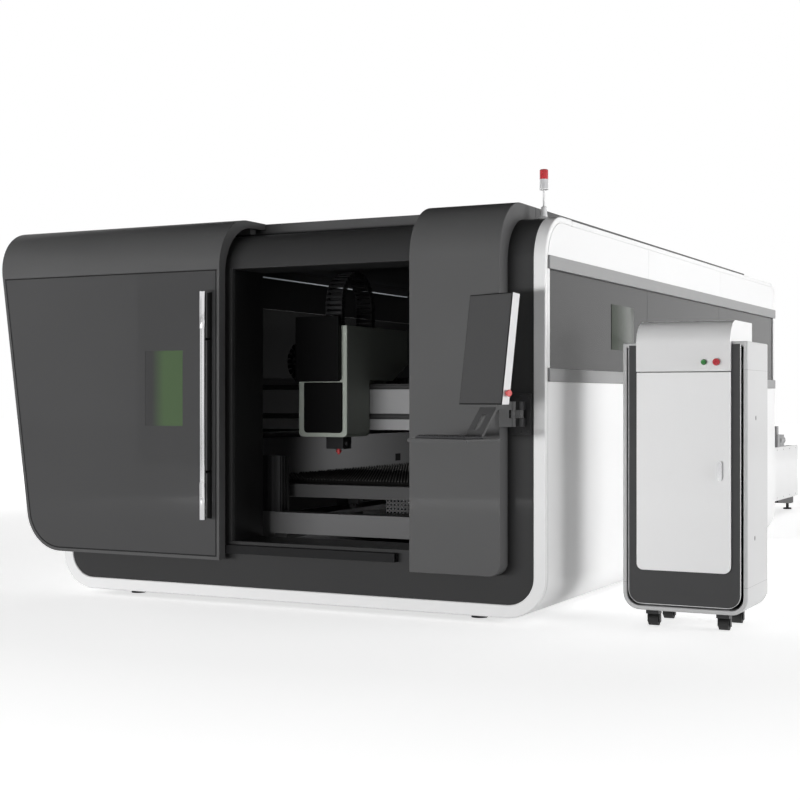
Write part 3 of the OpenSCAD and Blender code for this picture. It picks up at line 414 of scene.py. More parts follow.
def lens(name, colour, glow):
    """A beacon lens: ribbed rings up its height."""
    finish = Finish(name)
    phase = finish.axis("Z") * LENS_RIBS * 2 * math.pi
    rib = phase.math("SINE", phase)
    finish.set(
        Base_Color=finish.blend(rib * 0.5 + 0.5, rgba(colour, 0.8), rgba(colour, 1.1)),
        Roughness=rib * 0.03 + 0.13,
        Coat_Weight=0.6,
        Emission_Color=rgba(colour),
        Emission_Strength=glow,
    )
    finish.bump(rib, 0.0008, 0.6)
    return finish.material


def pane(name, colour, shade_edge_x=None, shade_width=1.0):
    """Tinted sheet; with an edge x given, painted shade darkens it at that x and fades out over the given
    width.
    """
    finish = Finish(name)
    tone = finish.blend(finish.noise(3.0), rgba(colour, 0.96), rgba(colour, 1.04))
    if shade_edge_x is not None:
        # Painted shade: the pane darkens towards its left edge.
        edge_shade = ((finish.axis("X") - shade_edge_x) * (1 / shade_width)).clamped()
        tone = finish.blend(edge_shade, (0.052, 0.052, 0.053, 1), tone)
    finish.set(
        Base_Color=tone,
        Roughness=finish.noise(12.0) * 0.06 + 0.2,
        Specular_IOR_Level=0.15,
        Coat_Weight=0.15,
        Coat_Roughness=0.04,
    )
    return finish.material


print("plastic, lens and pane recipes ready")

# %% [markdown]
# ## The machine's plastics and panes
# Chains, keys, wheels, buttons and lenses take their colours here. The diffuser of the light strips glows
# weakly: it reads as lit, and lamps do the lighting.

# %% The machine's plastics and panes
black_plastic = plastic("chain_black_plastic", (0.018, 0.018, 0.019), 0.5)
cover_black = paint("carriage_cover_coat", (0.006, 0.006, 0.0062), 0.4, specular=0.06)
pale_plastic = plastic("pale_plastic", (0.72, 0.72, 0.725), 0.42)
screen_glass = paint("screen_glass", (0.06, 0.06, 0.061), 0.3, specular=0.15, drift=0.02)
red_plastic = plastic("red_plastic", (0.62, 0.1, 0.1), 0.3, coat=0.3)
deep_red = plastic("deep_red_plastic", (0.42, 0.008, 0.018), 0.28, coat=0.2)
green_plastic = plastic("green_plastic", (0.01, 0.16, 0.02), 0.28, coat=0.2)
wheel_rubber = plastic("wheel_rubber", (0.018, 0.018, 0.018), 0.62, 260.0)
key_plastic = plastic("key_plastic", (0.03, 0.03, 0.032), 0.5)
SHADE_FROM, SHADE_W = 0.05, 0.085
window_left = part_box("door_window")[0][0]
# Painted shade along the door pane's left edge.
door_green = pane("door_safety_pane", (0.075, 0.115, 0.06), window_left + SHADE_FROM, SHADE_W)
tinted_band = pane("tinted_side_pane", (0.033, 0.033, 0.0335))
side_green = pane("side_safety_pane", (0.034, 0.043, 0.031))
red_lens = lens("red_beacon_lens", (0.5, 0.008, 0.015), 0.06)
clear_lens = lens("clear_beacon_lens", (0.6, 0.6, 0.61), 0.05)

led_finish = Finish("light_strip_diffuser")
led_finish.set(
    Base_Color=led_finish.blend(led_finish.noise(20.0), (0.85, 0.88, 0.9, 1), (0.92, 0.94, 0.96, 1)),
    Roughness=0.5,
    Emission_Color=(0.85, 0.93, 1.0, 1),
    Emission_Strength=0.12,
)
light_diffuser = led_finish.material
print("finishes so far:", len(bpy.data.materials))

# %% [markdown]
# ## Which finish goes where
# Finishes could be set piece by piece along the way. One table of all solids is easier to compare with the
# photograph, and a change of colour is then a change of one line.

# %% Finish of every solid
FINISHES = {
    "bed_frame": bed_grey, "bed_guide_rails": steel_along, "levelling_feet": black_coat,
    "front_fascia": dark_front, "front_rim": white_panel, "opening_frame": lining_black,
    "right_front_cover": dark_cover, "upper_side_panels": white_panel, "window_trims": trim_grey,
    "side_windows": tinted_band, "lower_side_panels": white_panel, "roof_deck": white_panel,
    "raised_roof": dark_hood, "rear_wall": white_panel, "light_strips": black_coat,
    "beacon_stem": pale_plastic, "beacon_lens_red": red_lens, "beacon_lens_clear": clear_lens,
    "console_hinge_plate": black_coat, "pallet_rails": steel_along, "exchange_frame": bed_grey,
    "exchange_panels": white_panel, "exchange_drive": beam_grey, "cabinet_shell": white_shell,
    "cabinet_front_frame": frame_dark, "cabinet_hood": white_hood, "laser_source": source_sheet,
    "door_shell": dark_hood, "door_panel": dark_door, "door_window": door_green, "door_handle": chrome,
    "gantry_beam": beam_groove_shaded, "gantry_trucks": beam_grey, "x_cable_chain": black_plastic,
    "carriage_housing": carriage_grey, "carriage_covers": cover_black, "z_cable_chain": black_plastic,
    "cutting_head": black_coat, "nozzle": nozzle_copper, "console_link": link_black,
    "console_arm": tray_grey, "monitor_housing": pale_plastic, "screen": screen_glass,
    "estop_button": red_plastic, "cabinet_door": white_cabinet, "cabinet_latch": chrome,
    "green_button": green_plastic, "red_button": deep_red,
    "upper_pallet": pallet_dark, "lower_pallet": pallet_dark,
}
for corner in ("fl", "fr", "rl", "rr"):
    FINISHES["caster_fork_" + corner] = black_coat
    FINISHES["caster_wheel_" + corner] = wheel_rubber
for which in ("upper", "lower"):
    low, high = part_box(which + "_slats")
    FINISHES[which + "_slats"] = slat_plate(which + "_slat_plate", low[2], high[2])


def wear(obj, material):
    """Gives an object one finish."""
    obj.data.materials.clear()
    obj.data.materials.append(material)


for name, obj in nodes.items():
    wear(obj, FINISHES[name])
print("finished solids:", len(FINISHES))

# %% [markdown]
# ## Putting a piece in the scene
# Every visible piece needs a finish, a body to ride on and a material slot, and the name of the plain solid
# that it stands for, if there is one. One function gives the finish and the body and hides that solid, so that
# nothing is forgotten.


# %% Show a piece
def show(name, mesh, body, slot, material, *stands_for):
    """Puts a finished mesh in the scene with its finish, on a body if one is named."""
    obj = bpy.data.objects.new(name, mesh)
    bpy.context.scene.collection.objects.link(obj)
    wear(obj, material)
    if body:
        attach(obj, body)
    if stands_for:
        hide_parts(*stands_for)
    return obj


print("ready to show pieces")

# %% [markdown]
# ## Round the sheet-metal edges
# No folded panel has a knife edge, and it is the thin highlight along each edge that makes metal look solid.
# A bevel in the shader would be quicker, but an exported mesh loses it. So each panel's mesh is copied, its
# flat triangles are joined, its sharp edges get a small bevel, and the copy stands for the solid.


# %% Bevelled copies
def weighted(name, mesh):
    """The mesh with normals that lean on its large faces, so that flat panels mirror like flat panels."""
    carrier = bpy.data.objects.new("carrier", mesh)
    bpy.context.scene.collection.objects.link(carrier)
    lean = carrier.modifiers.new("lean", "WEIGHTED_NORMAL")
    lean.weight = 100
    lean.keep_sharp = True
    bpy.context.view_layer.update()
    leaned = bpy.data.meshes.new_from_object(carrier.evaluated_get(bpy.context.evaluated_depsgraph_get()))
    leaned.name = name
    bpy.data.objects.remove(carrier)
    return leaned


MERGE = 1e-6
FLAT, SHARP, CREASE = math.radians(0.3), math.radians(40), math.radians(50)


def joined(mesh):
    """A bmesh of a solid, with its loose triangles joined into flat faces."""
    work = bmesh.new()
    work.from_mesh(mesh)
    bmesh.ops.remove_doubles(work, verts=work.verts, dist=MERGE)
    bmesh.ops.dissolve_limit(work, angle_limit=FLAT, verts=work.verts, edges=work.edges)
    return work


def soften(node, width):
    """A copy of a solid with its sharp edges bevelled by `width` millimetres."""
    mesh = nodes[node].data.copy()
    if mesh.has_custom_normals:
        carrier = bpy.data.objects.new("carrier", mesh)
        bpy.context.scene.collection.objects.link(carrier)
        with bpy.context.temp_override(object=carrier, active_object=carrier):
            bpy.ops.mesh.customdata_custom_splitnormals_clear()
        bpy.data.objects.remove(carrier)
    work = joined(mesh)
    sharp = [e for e in work.edges if len(e.link_faces) == 2 and e.calc_face_angle() > SHARP]
    bmesh.ops.bevel(
        work, geom=sharp, offset=width * MM, segments=2, profile=0.5, affect="EDGES",
        clamp_overlap=True, loop_slide=True,
    )
    work.to_mesh(mesh)
    work.free()
    mesh.polygons.foreach_set("use_smooth", [True] * len(mesh.polygons))
    mesh.set_sharp_from_angle(angle=CREASE)
    flat_mesh = weighted(node + "_edged", mesh)
    return show(node + "_edged", flat_mesh, node_body[node], node_slot[node], FINISHES[node], node)


EDGES = {
    "front_fascia": 4, "front_rim": 8, "right_front_cover": 5, "door_shell": 5,
    "opening_frame": 3, "upper_side_panels": 3, "lower_side_panels": 3, "window_trims": 3,
    "roof_deck": 4, "raised_roof": 6, "rear_wall": 4, "exchange_panels": 3, "exchange_drive": 3,
    "cabinet_shell": 8, "cabinet_front_frame": 2, "cabinet_hood": 5, "cabinet_door": 4,
    "monitor_housing": 6, "screen": 2, "carriage_housing": 6, "carriage_covers": 8, "cutting_head": 3,
    "gantry_beam": 3, "gantry_trucks": 3, "laser_source": 4, "console_hinge_plate": 2, "light_strips": 6,
    "console_arm": 2, "console_link": 1.5,
    "upper_pallet": 4, "lower_pallet": 4,
}
for name, width in EDGES.items():
    soften(name, width)
print("bevelled:", len(EDGES))

# %% [markdown]
# ## Repeats grown from points
# Teeth, links, keys and screws are one shape many times over. A loop could copy it, but a Geometry Nodes tree
# keeps the sizes as named inputs: it puts a shape on every point of a seed mesh, and the result is read back
# as one plain mesh.


# %% Geometry Nodes tools
class Grower:
    """A Geometry Nodes tree with named inputs that is run once on seed points."""

    def __init__(self, name):
        self.tree = bpy.data.node_groups.new(name, "GeometryNodeTree")
        self.tree.interface.new_socket("Geometry", in_out="OUTPUT", socket_type="NodeSocketGeometry")
        self.source = self.tree.nodes.new("NodeGroupInput")
        self.result = self.tree.nodes.new("NodeGroupOutput")
        self.seed = self.knob("Geometry", "Geometry")
        self.paint = self.knob("Material", "Material")

    def knob(self, name, kind):
        self.tree.interface.new_socket(name, in_out="INPUT", socket_type="NodeSocket" + kind)
        return self.source.outputs[name]

    def add(self, kind, settings=None, sockets=None, out=0):
        node = self.tree.nodes.new(kind)
        for key, value in (settings or {}).items():
            setattr(node, key, value)
        for key, value in (sockets or {}).items():
            if isinstance(value, bpy.types.NodeSocket):
                self.tree.links.new(value, node.inputs[key])
            else:
                node.inputs[key].default_value = value
        return node.outputs[out]

    def end(self, geometry):
        whole = self.add("GeometryNodeRealizeInstances", sockets={"Geometry": geometry})
        dressed = self.add("GeometryNodeSetMaterial", sockets={"Geometry": whole, "Material": self.paint})
        self.tree.links.new(dressed, self.result.inputs[0])

    def run(self, name, points, edges=(), **knobs):
        seed = bpy.data.meshes.new(name + "_seed")
        seed.from_pydata([tuple(p) for p in points], list(edges), [])
        host = bpy.data.objects.new(name + "_host", seed)
        bpy.context.scene.collection.objects.link(host)
        grow = host.modifiers.new("grow", "NODES")
        grow.node_group = self.tree
        for item in self.tree.interface.items_tree:
            if item.in_out == "INPUT" and item.name in knobs:
                grow[item.identifier] = knobs[item.name]
        bpy.context.view_layer.update()
        graph = bpy.context.evaluated_depsgraph_get()
        grown = bpy.data.meshes.new_from_object(host.evaluated_get(graph))
        grown.name = name
        bpy.data.objects.remove(host)
        print(name, "points", len(points), "faces", len(grown.polygons))
        return grown


print("grower ready")

# %% [markdown]
# ## Three kinds of grower
# `stamps` repeats any small mesh on points, and `studs` makes screw heads that stand along an axis. A chain
# grower sets links at even steps on a path, each turned to the path's own direction.

# %% Stamps, studs and chains
stamps = Grower("shape_on_points")
stamps.end(stamps.add("GeometryNodeInstanceOnPoints", sockets={
    "Points": stamps.seed,
    "Instance": stamps.add("GeometryNodeObjectInfo", sockets={"Object": stamps.knob("Shape", "Object")},
                           out="Geometry"),
}))

studs = Grower("screw_heads")
stud_radius = studs.knob("Radius", "Float")
studs.end(studs.add("GeometryNodeInstanceOnPoints", sockets={
    "Points": studs.seed,
    "Instance": studs.add("GeometryNodeMeshCone", sockets={
        "Vertices": 12,
        "Radius Bottom": stud_radius,
        "Radius Top": studs.add("ShaderNodeMath", {"operation": "MULTIPLY"}, {0: stud_radius, 1: 0.7}),
        "Depth": studs.knob("Depth", "Float"),
    }),
    "Rotation": studs.add("FunctionNodeAlignRotationToVector", {"axis": "Z"},
                          {"Vector": studs.knob("Axis", "Vector")}),
}))


def chain_grower(name, along, pivot):
    """Links on a path: `along` is the link's long axis, `pivot` the axis of its pins."""
    grower = Grower(name)
    path = grower.add("GeometryNodeMeshToCurve", sockets={"Mesh": grower.seed})
    links = grower.knob("Links", "Int")
    even = grower.add("GeometryNodeResampleCurve", sockets={"Curve": path, "Count": links})
    turn = grower.add("FunctionNodeAlignRotationToVector", {"axis": along, "pivot_axis": pivot},
                      {"Vector": grower.add("GeometryNodeInputTangent")})
    shape = grower.add("GeometryNodeObjectInfo", sockets={"Object": grower.knob("Shape", "Object")},
                       out="Geometry")
    grower.end(grower.add("GeometryNodeInstanceOnPoints", sockets={
        "Points": even, "Instance": shape, "Rotation": turn
    }))
    return grower


print("growers ready")

# %% [markdown]
# ## Small shapes
# Two helpers cover most small hardware: bevelled blocks for what is sawn or moulded, and turned profiles for
# what comes off a lathe.


# %% Blocks and turnings
def bevelled(name, work, width):
    """Writes a bmesh to a mesh after rounding its edges by `width` millimetres."""
    if width:
        bmesh.ops.bevel(work, geom=list(work.edges), offset=width * MM, segments=2, profile=0.5,
                        affect="EDGES", clamp_overlap=True)
    bmesh.ops.recalc_face_normals(work, faces=work.faces)
    mesh = bpy.data.meshes.new(name)
    work.to_mesh(mesh)
    work.free()
    mesh.polygons.foreach_set("use_smooth", [True] * len(mesh.polygons))
    mesh.set_sharp_from_angle(angle=math.radians(30))
    return mesh


def blocks(name, spans, width=0.0, origin=None):
    """Boxes from (low, high) corners in millimetres, on the machine's ruler unless an origin is given."""
    start = at(0, 0, 0) if origin is None else Vector(origin)
    work = bmesh.new()
    for low, high in spans:
        low, high = Vector(low) * MM, Vector(high) * MM
        span = Matrix.LocRotScale(start + (low + high) / 2, None, high - low)
        bmesh.ops.create_cube(work, size=1.0, matrix=span)
    return bevelled(name, work, width)


def turned(name, profiles, sides):
    """Lathe work: each profile is (start, direction, [(radius, distance along), ...]) in millimetres."""
    work = bmesh.new()
    for start, direction, profile in profiles:
        spin = Vector((0, 0, 1)).rotation_difference(Vector(direction)).to_matrix().to_4x4()
        frame_of = Matrix.Translation(at(*start)) @ spin
        rings = []
        for radius, along in profile:
            ring = []
            for k in range(sides):
                a = 2 * math.pi * k / sides
                spot = Vector((radius * math.cos(a), radius * math.sin(a), along)) * MM
                ring.append(work.verts.new(frame_of @ spot))
            rings.append(ring)
        for lower, upper in zip(rings, rings[1:]):
            for k in range(sides):
                work.faces.new((lower[k], lower[(k + 1) % sides], upper[(k + 1) % sides], upper[k]))
        work.faces.new(list(reversed(rings[0])))
        work.faces.new(rings[-1])
    return bevelled(name, work, 0)


print("blocks and turnings ready")

# %% [markdown]
# ## Repeated pieces
# A repeat becomes a piece in one call: the grower runs, its result is shown, and the small shape that was
# only lent to it is removed again.


# %% Stamped pieces and screws
def shape_object(mesh):
    """An object that only lends its mesh to a grower."""
    obj = bpy.data.objects.new(mesh.name + "_shape", mesh)
    bpy.context.scene.collection.objects.link(obj)
    return obj


def stamp(name, mesh, points, body, slot, material, *stands_for):
    """One piece: a small mesh repeated on points."""
    shape = shape_object(mesh)
    grown = stamps.run(name, points, Shape=shape, Material=material)
    bpy.data.objects.remove(shape)
    return show(name, grown, body, slot, material, *stands_for)


def screws(name, points, axis, radius, depth, body, slot, material):
    """One piece: screw heads on points, standing along an axis."""
    grown = studs.run(name, points, Radius=radius * MM, Depth=depth * MM, Axis=axis, Material=material)
    return show(name, grown, body, slot, material)


print("repeats ready")

# %% [markdown]
# ## Saw-tooth slats
# The sheet rests on rows of pointed slats, so that the beam meets little metal under it. Real slats are cut
# from thin plate at a close pitch, finer than the plain solids carry. One toothed plate is drawn point by
# point, and a grower repeats it along the pallet.


# %% Slats
def comb(name, low, high, teeth, thick, tooth_h):
    """A toothed plate across x, `thick` in y, in metres."""
    columns = 2 * teeth + 1
    verts, faces = [], []
    for k in range(columns):
        x = low[0] + (high[0] - low[0]) * k / (columns - 1)
        top = high[2] if k % 2 else high[2] - tooth_h
        for y in (-thick / 2, thick / 2):
            verts += [(x, y, low[2]), (x, y, top)]
    for k in range(columns - 1):
        a, b = 4 * k, 4 * (k + 1)
        faces += [(a, b, b + 1, a + 1), (b + 2, a + 2, a + 3, b + 3)]
        faces += [(a + 1, b + 1, b + 3, a + 3), (b, a, a + 2, b + 2)]
    mesh = bpy.data.meshes.new(name)
    mesh.from_pydata(verts, [], faces)
    return mesh


SLATS, TEETH = 24, 76
SLAT_T, TOOTH_H, END_GAP = 0.005, 0.018, 0.002
for which in ("upper", "lower"):
    low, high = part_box(which + "_slats")
    step = (high[1] - low[1] - 2 * END_GAP) / (SLATS - 1)
    stamp(
        which + "_saw_slats", comb(which + "_comb", low, high, TEETH, SLAT_T, TOOTH_H),
        [(0, low[1] + END_GAP + k * step, 0) for k in range(SLATS)],
        which + "_table", "slat_steel", FINISHES[which + "_slats"], which + "_slats",
    )

# %% [markdown]
# ## Cable chains
# Hoses and cables travel in chains of hinged plastic links. A plain band would do from far away, but the gaps
# between the links are what reads as a chain. Each link is two side plates and two cross bars, and a path of
# points says where the chain runs.


# %% Links and paths
PLATE_T, BAR_T, LINK_EDGE = 9, 7, 1.6


def link_mesh(name, along, across, pitch, width, thick):
    """One open link: two side plates and two cross bars. `along` and `across` are axis numbers."""
    up = 3 - along - across

    def span(l0, l1, w0, w1, t0, t1):
        low, high = [0, 0, 0], [0, 0, 0]
        for axis, a, b in ((along, l0, l1), (across, w0, w1), (up, t0, t1)):
            low[axis], high[axis] = a, b
        return low, high

    half, w, t = pitch / 2, width / 2, thick / 2
    plate, bar = (-half * 1.02, half * 0.8), (-half * 0.6, half * 0.5)
    inside = (-w + PLATE_T, w - PLATE_T)
    return blocks(name, [
        span(*plate, -w, -w + PLATE_T, -t, t), span(*plate, w - PLATE_T, w, -t, t),
        span(*bar, *inside, t - BAR_T, t), span(*bar, *inside, -t, -t + BAR_T),
    ], LINK_EDGE, (0, 0, 0))


def arc_points(centre, radius, start, stop, steps, plane):
    """Points on an arc in the xz or the yz plane."""
    points = []
    for k in range(steps + 1):
        a = math.radians(start + (stop - start) * k / steps)
        u, v = centre[0] + radius * math.cos(a), centre[1] + radius * math.sin(a)
        points.append(at(u, plane[1], v) if plane[0] == "y" else at(plane[1], u, v))
    return points


def lay_chain(name, grower, shape_mesh, path, pitch, body, node):
    """One piece: links at about `pitch` on a path, in place of a plain solid."""
    length = sum((b - a).length for a, b in zip(path, path[1:]))
    shape = shape_object(shape_mesh)
    grown = grower.run(
        name, path, [(k, k + 1) for k in range(len(path) - 1)],
        Shape=shape, Links=round(length / (pitch * MM)), Material=black_plastic,
    )
    bpy.data.objects.remove(shape)
    return show(name, grown, body, node_slot[node], black_plastic, node)


print("chain tools ready")

# %% [markdown]
# ## The beam's chain
# The lower run lies on the beam, the chain bends back, and the upper run follows the carriage. Riding on one
# body, it would be torn from the other, so it is laid on no body.

# %% Beam chain
CHAIN_T, BEAM_PITCH = 45, 34
RUN_IN, BLEND_SPAN = 20, 0.8
low, high = ruler_box("x_cable_chain")
bend_r = (high.z - low.z) / 2 - CHAIN_T / 2
bend_z = (high.z + low.z) / 2
bend_x = low.x + (high.z - low.z) / 2
run_y = (low.y + high.y) / 2
carriage_low, carriage_high = ruler_box("carriage_housing")
run_end = (carriage_low.x + carriage_high.x) / 2
x_path = [at(high.x - RUN_IN, run_y, bend_z - bend_r)]
x_path += arc_points((bend_x, bend_z), bend_r, 270, 90, 24, ("y", run_y))
x_path += [at(run_end, run_y, bend_z + bend_r)]
x_chain = lay_chain(
    "beam_chain_links", chain_grower("chain_flat", "X", "Y"),
    link_mesh("beam_link", 0, 1, BEAM_PITCH, high.y - low.y, CHAIN_T), x_path, BEAM_PITCH,
    None, "x_cable_chain",
)
at(bend_x, run_y, bend_z - bend_r * BLEND_SPAN)
at(bend_x, run_y, bend_z + bend_r * BLEND_SPAN)
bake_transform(x_chain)
print("bend radius", round(bend_r), "mm")

# %% [markdown]
# ## The carriage's chain
# This chain stands on two legs and arches over the carriage, from front to rear. It rides on the carriage as
# a whole, so a half circle of path points between two straight legs is enough.

# %% Carriage chain
ARCH_PITCH, LEG_UP = 32, 18
low, high = ruler_box("z_cable_chain")
arch_r = (high.y - low.y - CHAIN_T) / 2
arch_y = (low.y + high.y) / 2
spring_z = high.z - arch_r - CHAIN_T / 2
arch_x = (low.x + high.x) / 2
z_path = [at(arch_x, arch_y - arch_r, low.z + LEG_UP)]
z_path += arc_points((arch_y, spring_z), arch_r, 180, 0, 28, ("x", arch_x))
z_path += [at(arch_x, arch_y + arch_r, low.z + LEG_UP)]
lay_chain(
    "carriage_chain_links", chain_grower("chain_arch", "Y", "X"),
    link_mesh("arch_link", 1, 0, ARCH_PITCH, high.x - low.x, CHAIN_T), z_path, ARCH_PITCH,
    "carriage", "z_cable_chain",
)
print("arch radius", round(arch_r), "mm")

# %% [markdown]
# ## The door's bar
# The long bar is a chrome tube with thicker sleeves at its ends, held off the door by two dark posts. Bar and
# posts are lathe work; under the posts, a dark strip as long as the bar lies flat on the door.

# %% Door bar
low, high = ruler_box("door_handle")
bar_x = (low.x + high.x) / 2
bar_y = low.y + (high.x - low.x) / 2
sleeve_r = (high.x - low.x) / 2
SLEEVE, SLEEVE_STEP = 217, 2.5
BAR_SIDES, POST_SIDES = 40, 24
bar_r = sleeve_r - SLEEVE_STEP
bar_len = high.z - low.z
bar_outline = [
    (sleeve_r - 4, 0), (sleeve_r - 1, 1), (sleeve_r, 4), (sleeve_r, SLEEVE - 3), (sleeve_r - 1, SLEEVE),
    (bar_r, SLEEVE), (bar_r, bar_len - SLEEVE), (sleeve_r - 1, bar_len - SLEEVE),
    (sleeve_r, bar_len - SLEEVE + 3), (sleeve_r, bar_len - 4), (sleeve_r - 1, bar_len - 1),
    (sleeve_r - 4, bar_len),
]
bar = turned("door_bar", [((bar_x, bar_y, low.z), (0, 0, 1), bar_outline)], BAR_SIDES)
show("door_bar", bar, "door", node_slot["door_handle"], chrome, "door_handle")
post_outline = [(16, 0), (16, 4), (9, 6), (8, 12), (8, high.y - bar_y - 2)]
POST_Z = (773, 1541)
post_profiles = [((bar_x, high.y - 1, z), (0, -1, 0), post_outline) for z in POST_Z]
posts = turned("door_bar_posts", post_profiles, POST_SIDES)
show("door_bar_posts", posts, "door", "black_metal", cover_black)
# A dark strip as long as the bar lies flat on the door, under the posts.
STRIP_HALF, STRIP_T, STRIP_IN = 15, 5, 4
strip = [(
    (bar_x - STRIP_HALF, high.y - STRIP_T, low.z + STRIP_IN),
    (bar_x + STRIP_HALF, high.y, high.z - STRIP_IN),
)]
show("door_bar_strip", blocks("door_bar_strip", strip, 1.5), "door", "black_metal", cover_black)
print("bar length", round(bar_len), "mm")

# %% [markdown]
# ## Inner lining
# Inside, the enclosure is lined with matt black sheets that swallow stray light. They hang a few millimetres
# inside the panels and leave the window band free. Black paint on the inner faces would need a second finish
# on every panel, so loose sheets are simpler.


# %% Lining sheets
def both_sides(x0, x1, y_span, z_span):
    """A block on the right of the machine and its mirror image on the left, as corners."""
    spans = []
    for side in (-1, 1):
        low_x, high_x = sorted((side * x0, side * x1))
        spans.append(((low_x, y_span[0], z_span[0]), (high_x, y_span[1], z_span[1])))
    return spans


WALL_IN, SHEET_T, DECK_GAP = 36, 2, 1
FRONT_Y, BACK_Y, ROOF_BACK = 360, 5345, 5150
BAND_LOW, BAND_HIGH, WALL_FOOT = 1355, 1885, 270
REAR_LOW, REAR_HIGH = 790, 1930
wall_x = ruler_box("lower_side_panels")[1].x - WALL_IN
lining_top = ruler_box("roof_deck")[0].z - DECK_GAP
lining_under = lining_top - SHEET_T
lining = [((-wall_x, FRONT_Y, lining_under), (wall_x, ROOF_BACK, lining_top))]
lining += both_sides(wall_x, wall_x - SHEET_T, (FRONT_Y, BACK_Y), (WALL_FOOT, BAND_LOW))
lining += both_sides(wall_x, wall_x - SHEET_T, (FRONT_Y, ROOF_BACK), (BAND_HIGH, lining_under))
lining.append(((-wall_x, BACK_Y - SHEET_T, REAR_LOW), (wall_x, BACK_Y, REAR_HIGH)))
show("chamber_lining", blocks("chamber_lining", lining), "machine", "dark_paint", lining_black)
print("lining sheets:", len(lining))

# %% [markdown]
# ## Light strips
# Each lamp housing under the roof shows only a thin bright slit along its inner lower edge. A stripe in the
# paint could show it too; a thin block let into the housing keeps its edges sharp from every side.

# %% Light slits
SLIT_FAR, SLIT_NEAR = 52, 44
SLIT_IN, SLIT_DOWN, SLIT_UP = 20, 2, 6
strip_low, strip_high = ruler_box("light_strips")
slits = both_sides(
    strip_high.x - SLIT_FAR, strip_high.x - SLIT_NEAR,
    (strip_low.y + SLIT_IN, strip_high.y - SLIT_IN), (strip_low.z - SLIT_DOWN, strip_low.z + SLIT_UP),
)
show("light_slits", blocks("light_slits", slits, 1), "machine", "led_diffuser", light_diffuser)
print("light slits:", len(slits))

# %% [markdown]
# ## Under the pallet
# The scrap box shows a perforated sheet. Painted holes would look flat at an angle, so each perforation is a
# square cell with a round hole through it, repeated on a grid.


# %% Perforated sheet
HOLE_SIDES = 16


def holed_cell(name, pitch, radius, thick):
    """A square cell of sheet with a round hole through it, standing in the xz plane, in metres."""
    work = bmesh.new()
    rings = []
    for y in (-thick / 2, thick / 2):
        outer, inner = [], []
        for k in range(HOLE_SIDES):
            a = 2 * math.pi * (k + 0.5) / HOLE_SIDES
            c, s = math.cos(a), math.sin(a)
            reach = pitch / 2 / max(abs(c), abs(s))
            outer.append(work.verts.new((c * reach, y, s * reach)))
            inner.append(work.verts.new((c * radius, y, s * radius)))
        rings.append((outer, inner))
    (front_out, front_in), (back_out, back_in) = rings
    for k in range(HOLE_SIDES):
        n = (k + 1) % HOLE_SIDES
        work.faces.new((front_out[k], front_out[n], front_in[n], front_in[k]))
        work.faces.new((back_out[n], back_out[k], back_in[k], back_in[n]))
        work.faces.new((front_in[k], front_in[n], back_in[n], back_in[k]))
    mesh = bpy.data.meshes.new(name)
    bmesh.ops.recalc_face_normals(work, faces=work.faces)
    work.to_mesh(mesh)
    work.free()
    return mesh


HOLE_PITCH, HOLE_R, SCREEN_T = 24, 0.007, 0.003
SCREEN_X, SCREEN_Y, SCREEN_Z = 306, 700, 506
COLUMNS, ROWS = 22, 4
grid = [
    at(SCREEN_X + HOLE_PITCH * i, SCREEN_Y, SCREEN_Z + HOLE_PITCH * j)
    for i in range(COLUMNS) for j in range(ROWS)
]
stamp("scrap_screen", holed_cell("screen_cell", HOLE_PITCH * MM, HOLE_R, SCREEN_T), grid,
      "machine", "bed_paint", pallet_dark)

# %% [markdown]
# ## Hook, guard and slots
# A hook catches the pallet, a ribbed sheet guards the front post, and two slots show in the bed's sides. All
# of them are straight and short, so lists of block corners are the plainest way.

# %% Hook, guard and slots
HOOK = [
    ((88, 596, 560), (160, 604, 590)), ((100, 590, 538), (146, 606, 562)), ((112, 580, 548), (134, 592, 560)),
]
hook = blocks("pallet_hook", HOOK, 2)
show("pallet_hook", hook, "machine", "black_metal", cover_black)
GX0, GX1, GY0, GY1, GZ0, GZ1 = -434, -296, 436, 544, 508, 850
GUARD_T, RIB_W, RIB_STEP, RIB_OUT, RIB_SINK, RIB_IN = 3, 12, 30, 5, 1, 4
FRONT_START, FRONT_RIBS, SIDE_START, SIDE_RIBS = 14, 4, 12, 3
guard = [((GX0, GY0, GZ0), (GX1, GY0 + GUARD_T, GZ1)), ((GX1 - GUARD_T, GY0, GZ0), (GX1, GY1, GZ1))]
for k in range(FRONT_RIBS):
    rib = GX0 + FRONT_START + RIB_STEP * k
    guard.append(((rib, GY0 - RIB_OUT, GZ0 + RIB_IN), (rib + RIB_W, GY0 + RIB_SINK, GZ1 - RIB_IN)))
for k in range(SIDE_RIBS):
    rib = GY0 + SIDE_START + RIB_STEP * k
    guard.append(((GX1 - RIB_SINK, rib, GZ0 + RIB_IN), (GX1 + RIB_OUT, rib + RIB_W, GZ1 - RIB_IN)))
show("post_guard", blocks("post_guard", guard, 1.2), "machine", "black_metal", black_coat)
SLOT_X, SLOT_T, SLOT_Y, SLOT_Z = 890, 1.5, (3150, 3236), (708, 764)
slots = both_sides(SLOT_X, SLOT_X - SLOT_T, SLOT_Y, SLOT_Z)
show("bed_slots", blocks("bed_slots", slots), "machine", "black_metal", cover_black)
print("guard blocks:", len(guard), "slots:", len(slots))

# %% [markdown]
# ## Safety panes in the sides
# A small green pane in each window band lets the operator watch the beam from the side. It lies on the band
# as a thin block, so it needs no cut in the solid behind it.

# %% Side panes
PANE_Y, PANE_Z, PANE_T = (1094, 1517), (1488, 1756), 2.5
band_x = ruler_box("side_windows")[1].x
panes = both_sides(band_x, band_x + PANE_T, PANE_Y, PANE_Z)
show("side_safety_panes", blocks("side_safety_panes", panes, 1), "machine", "green_glass", side_green)
print("side panes:", len(panes))

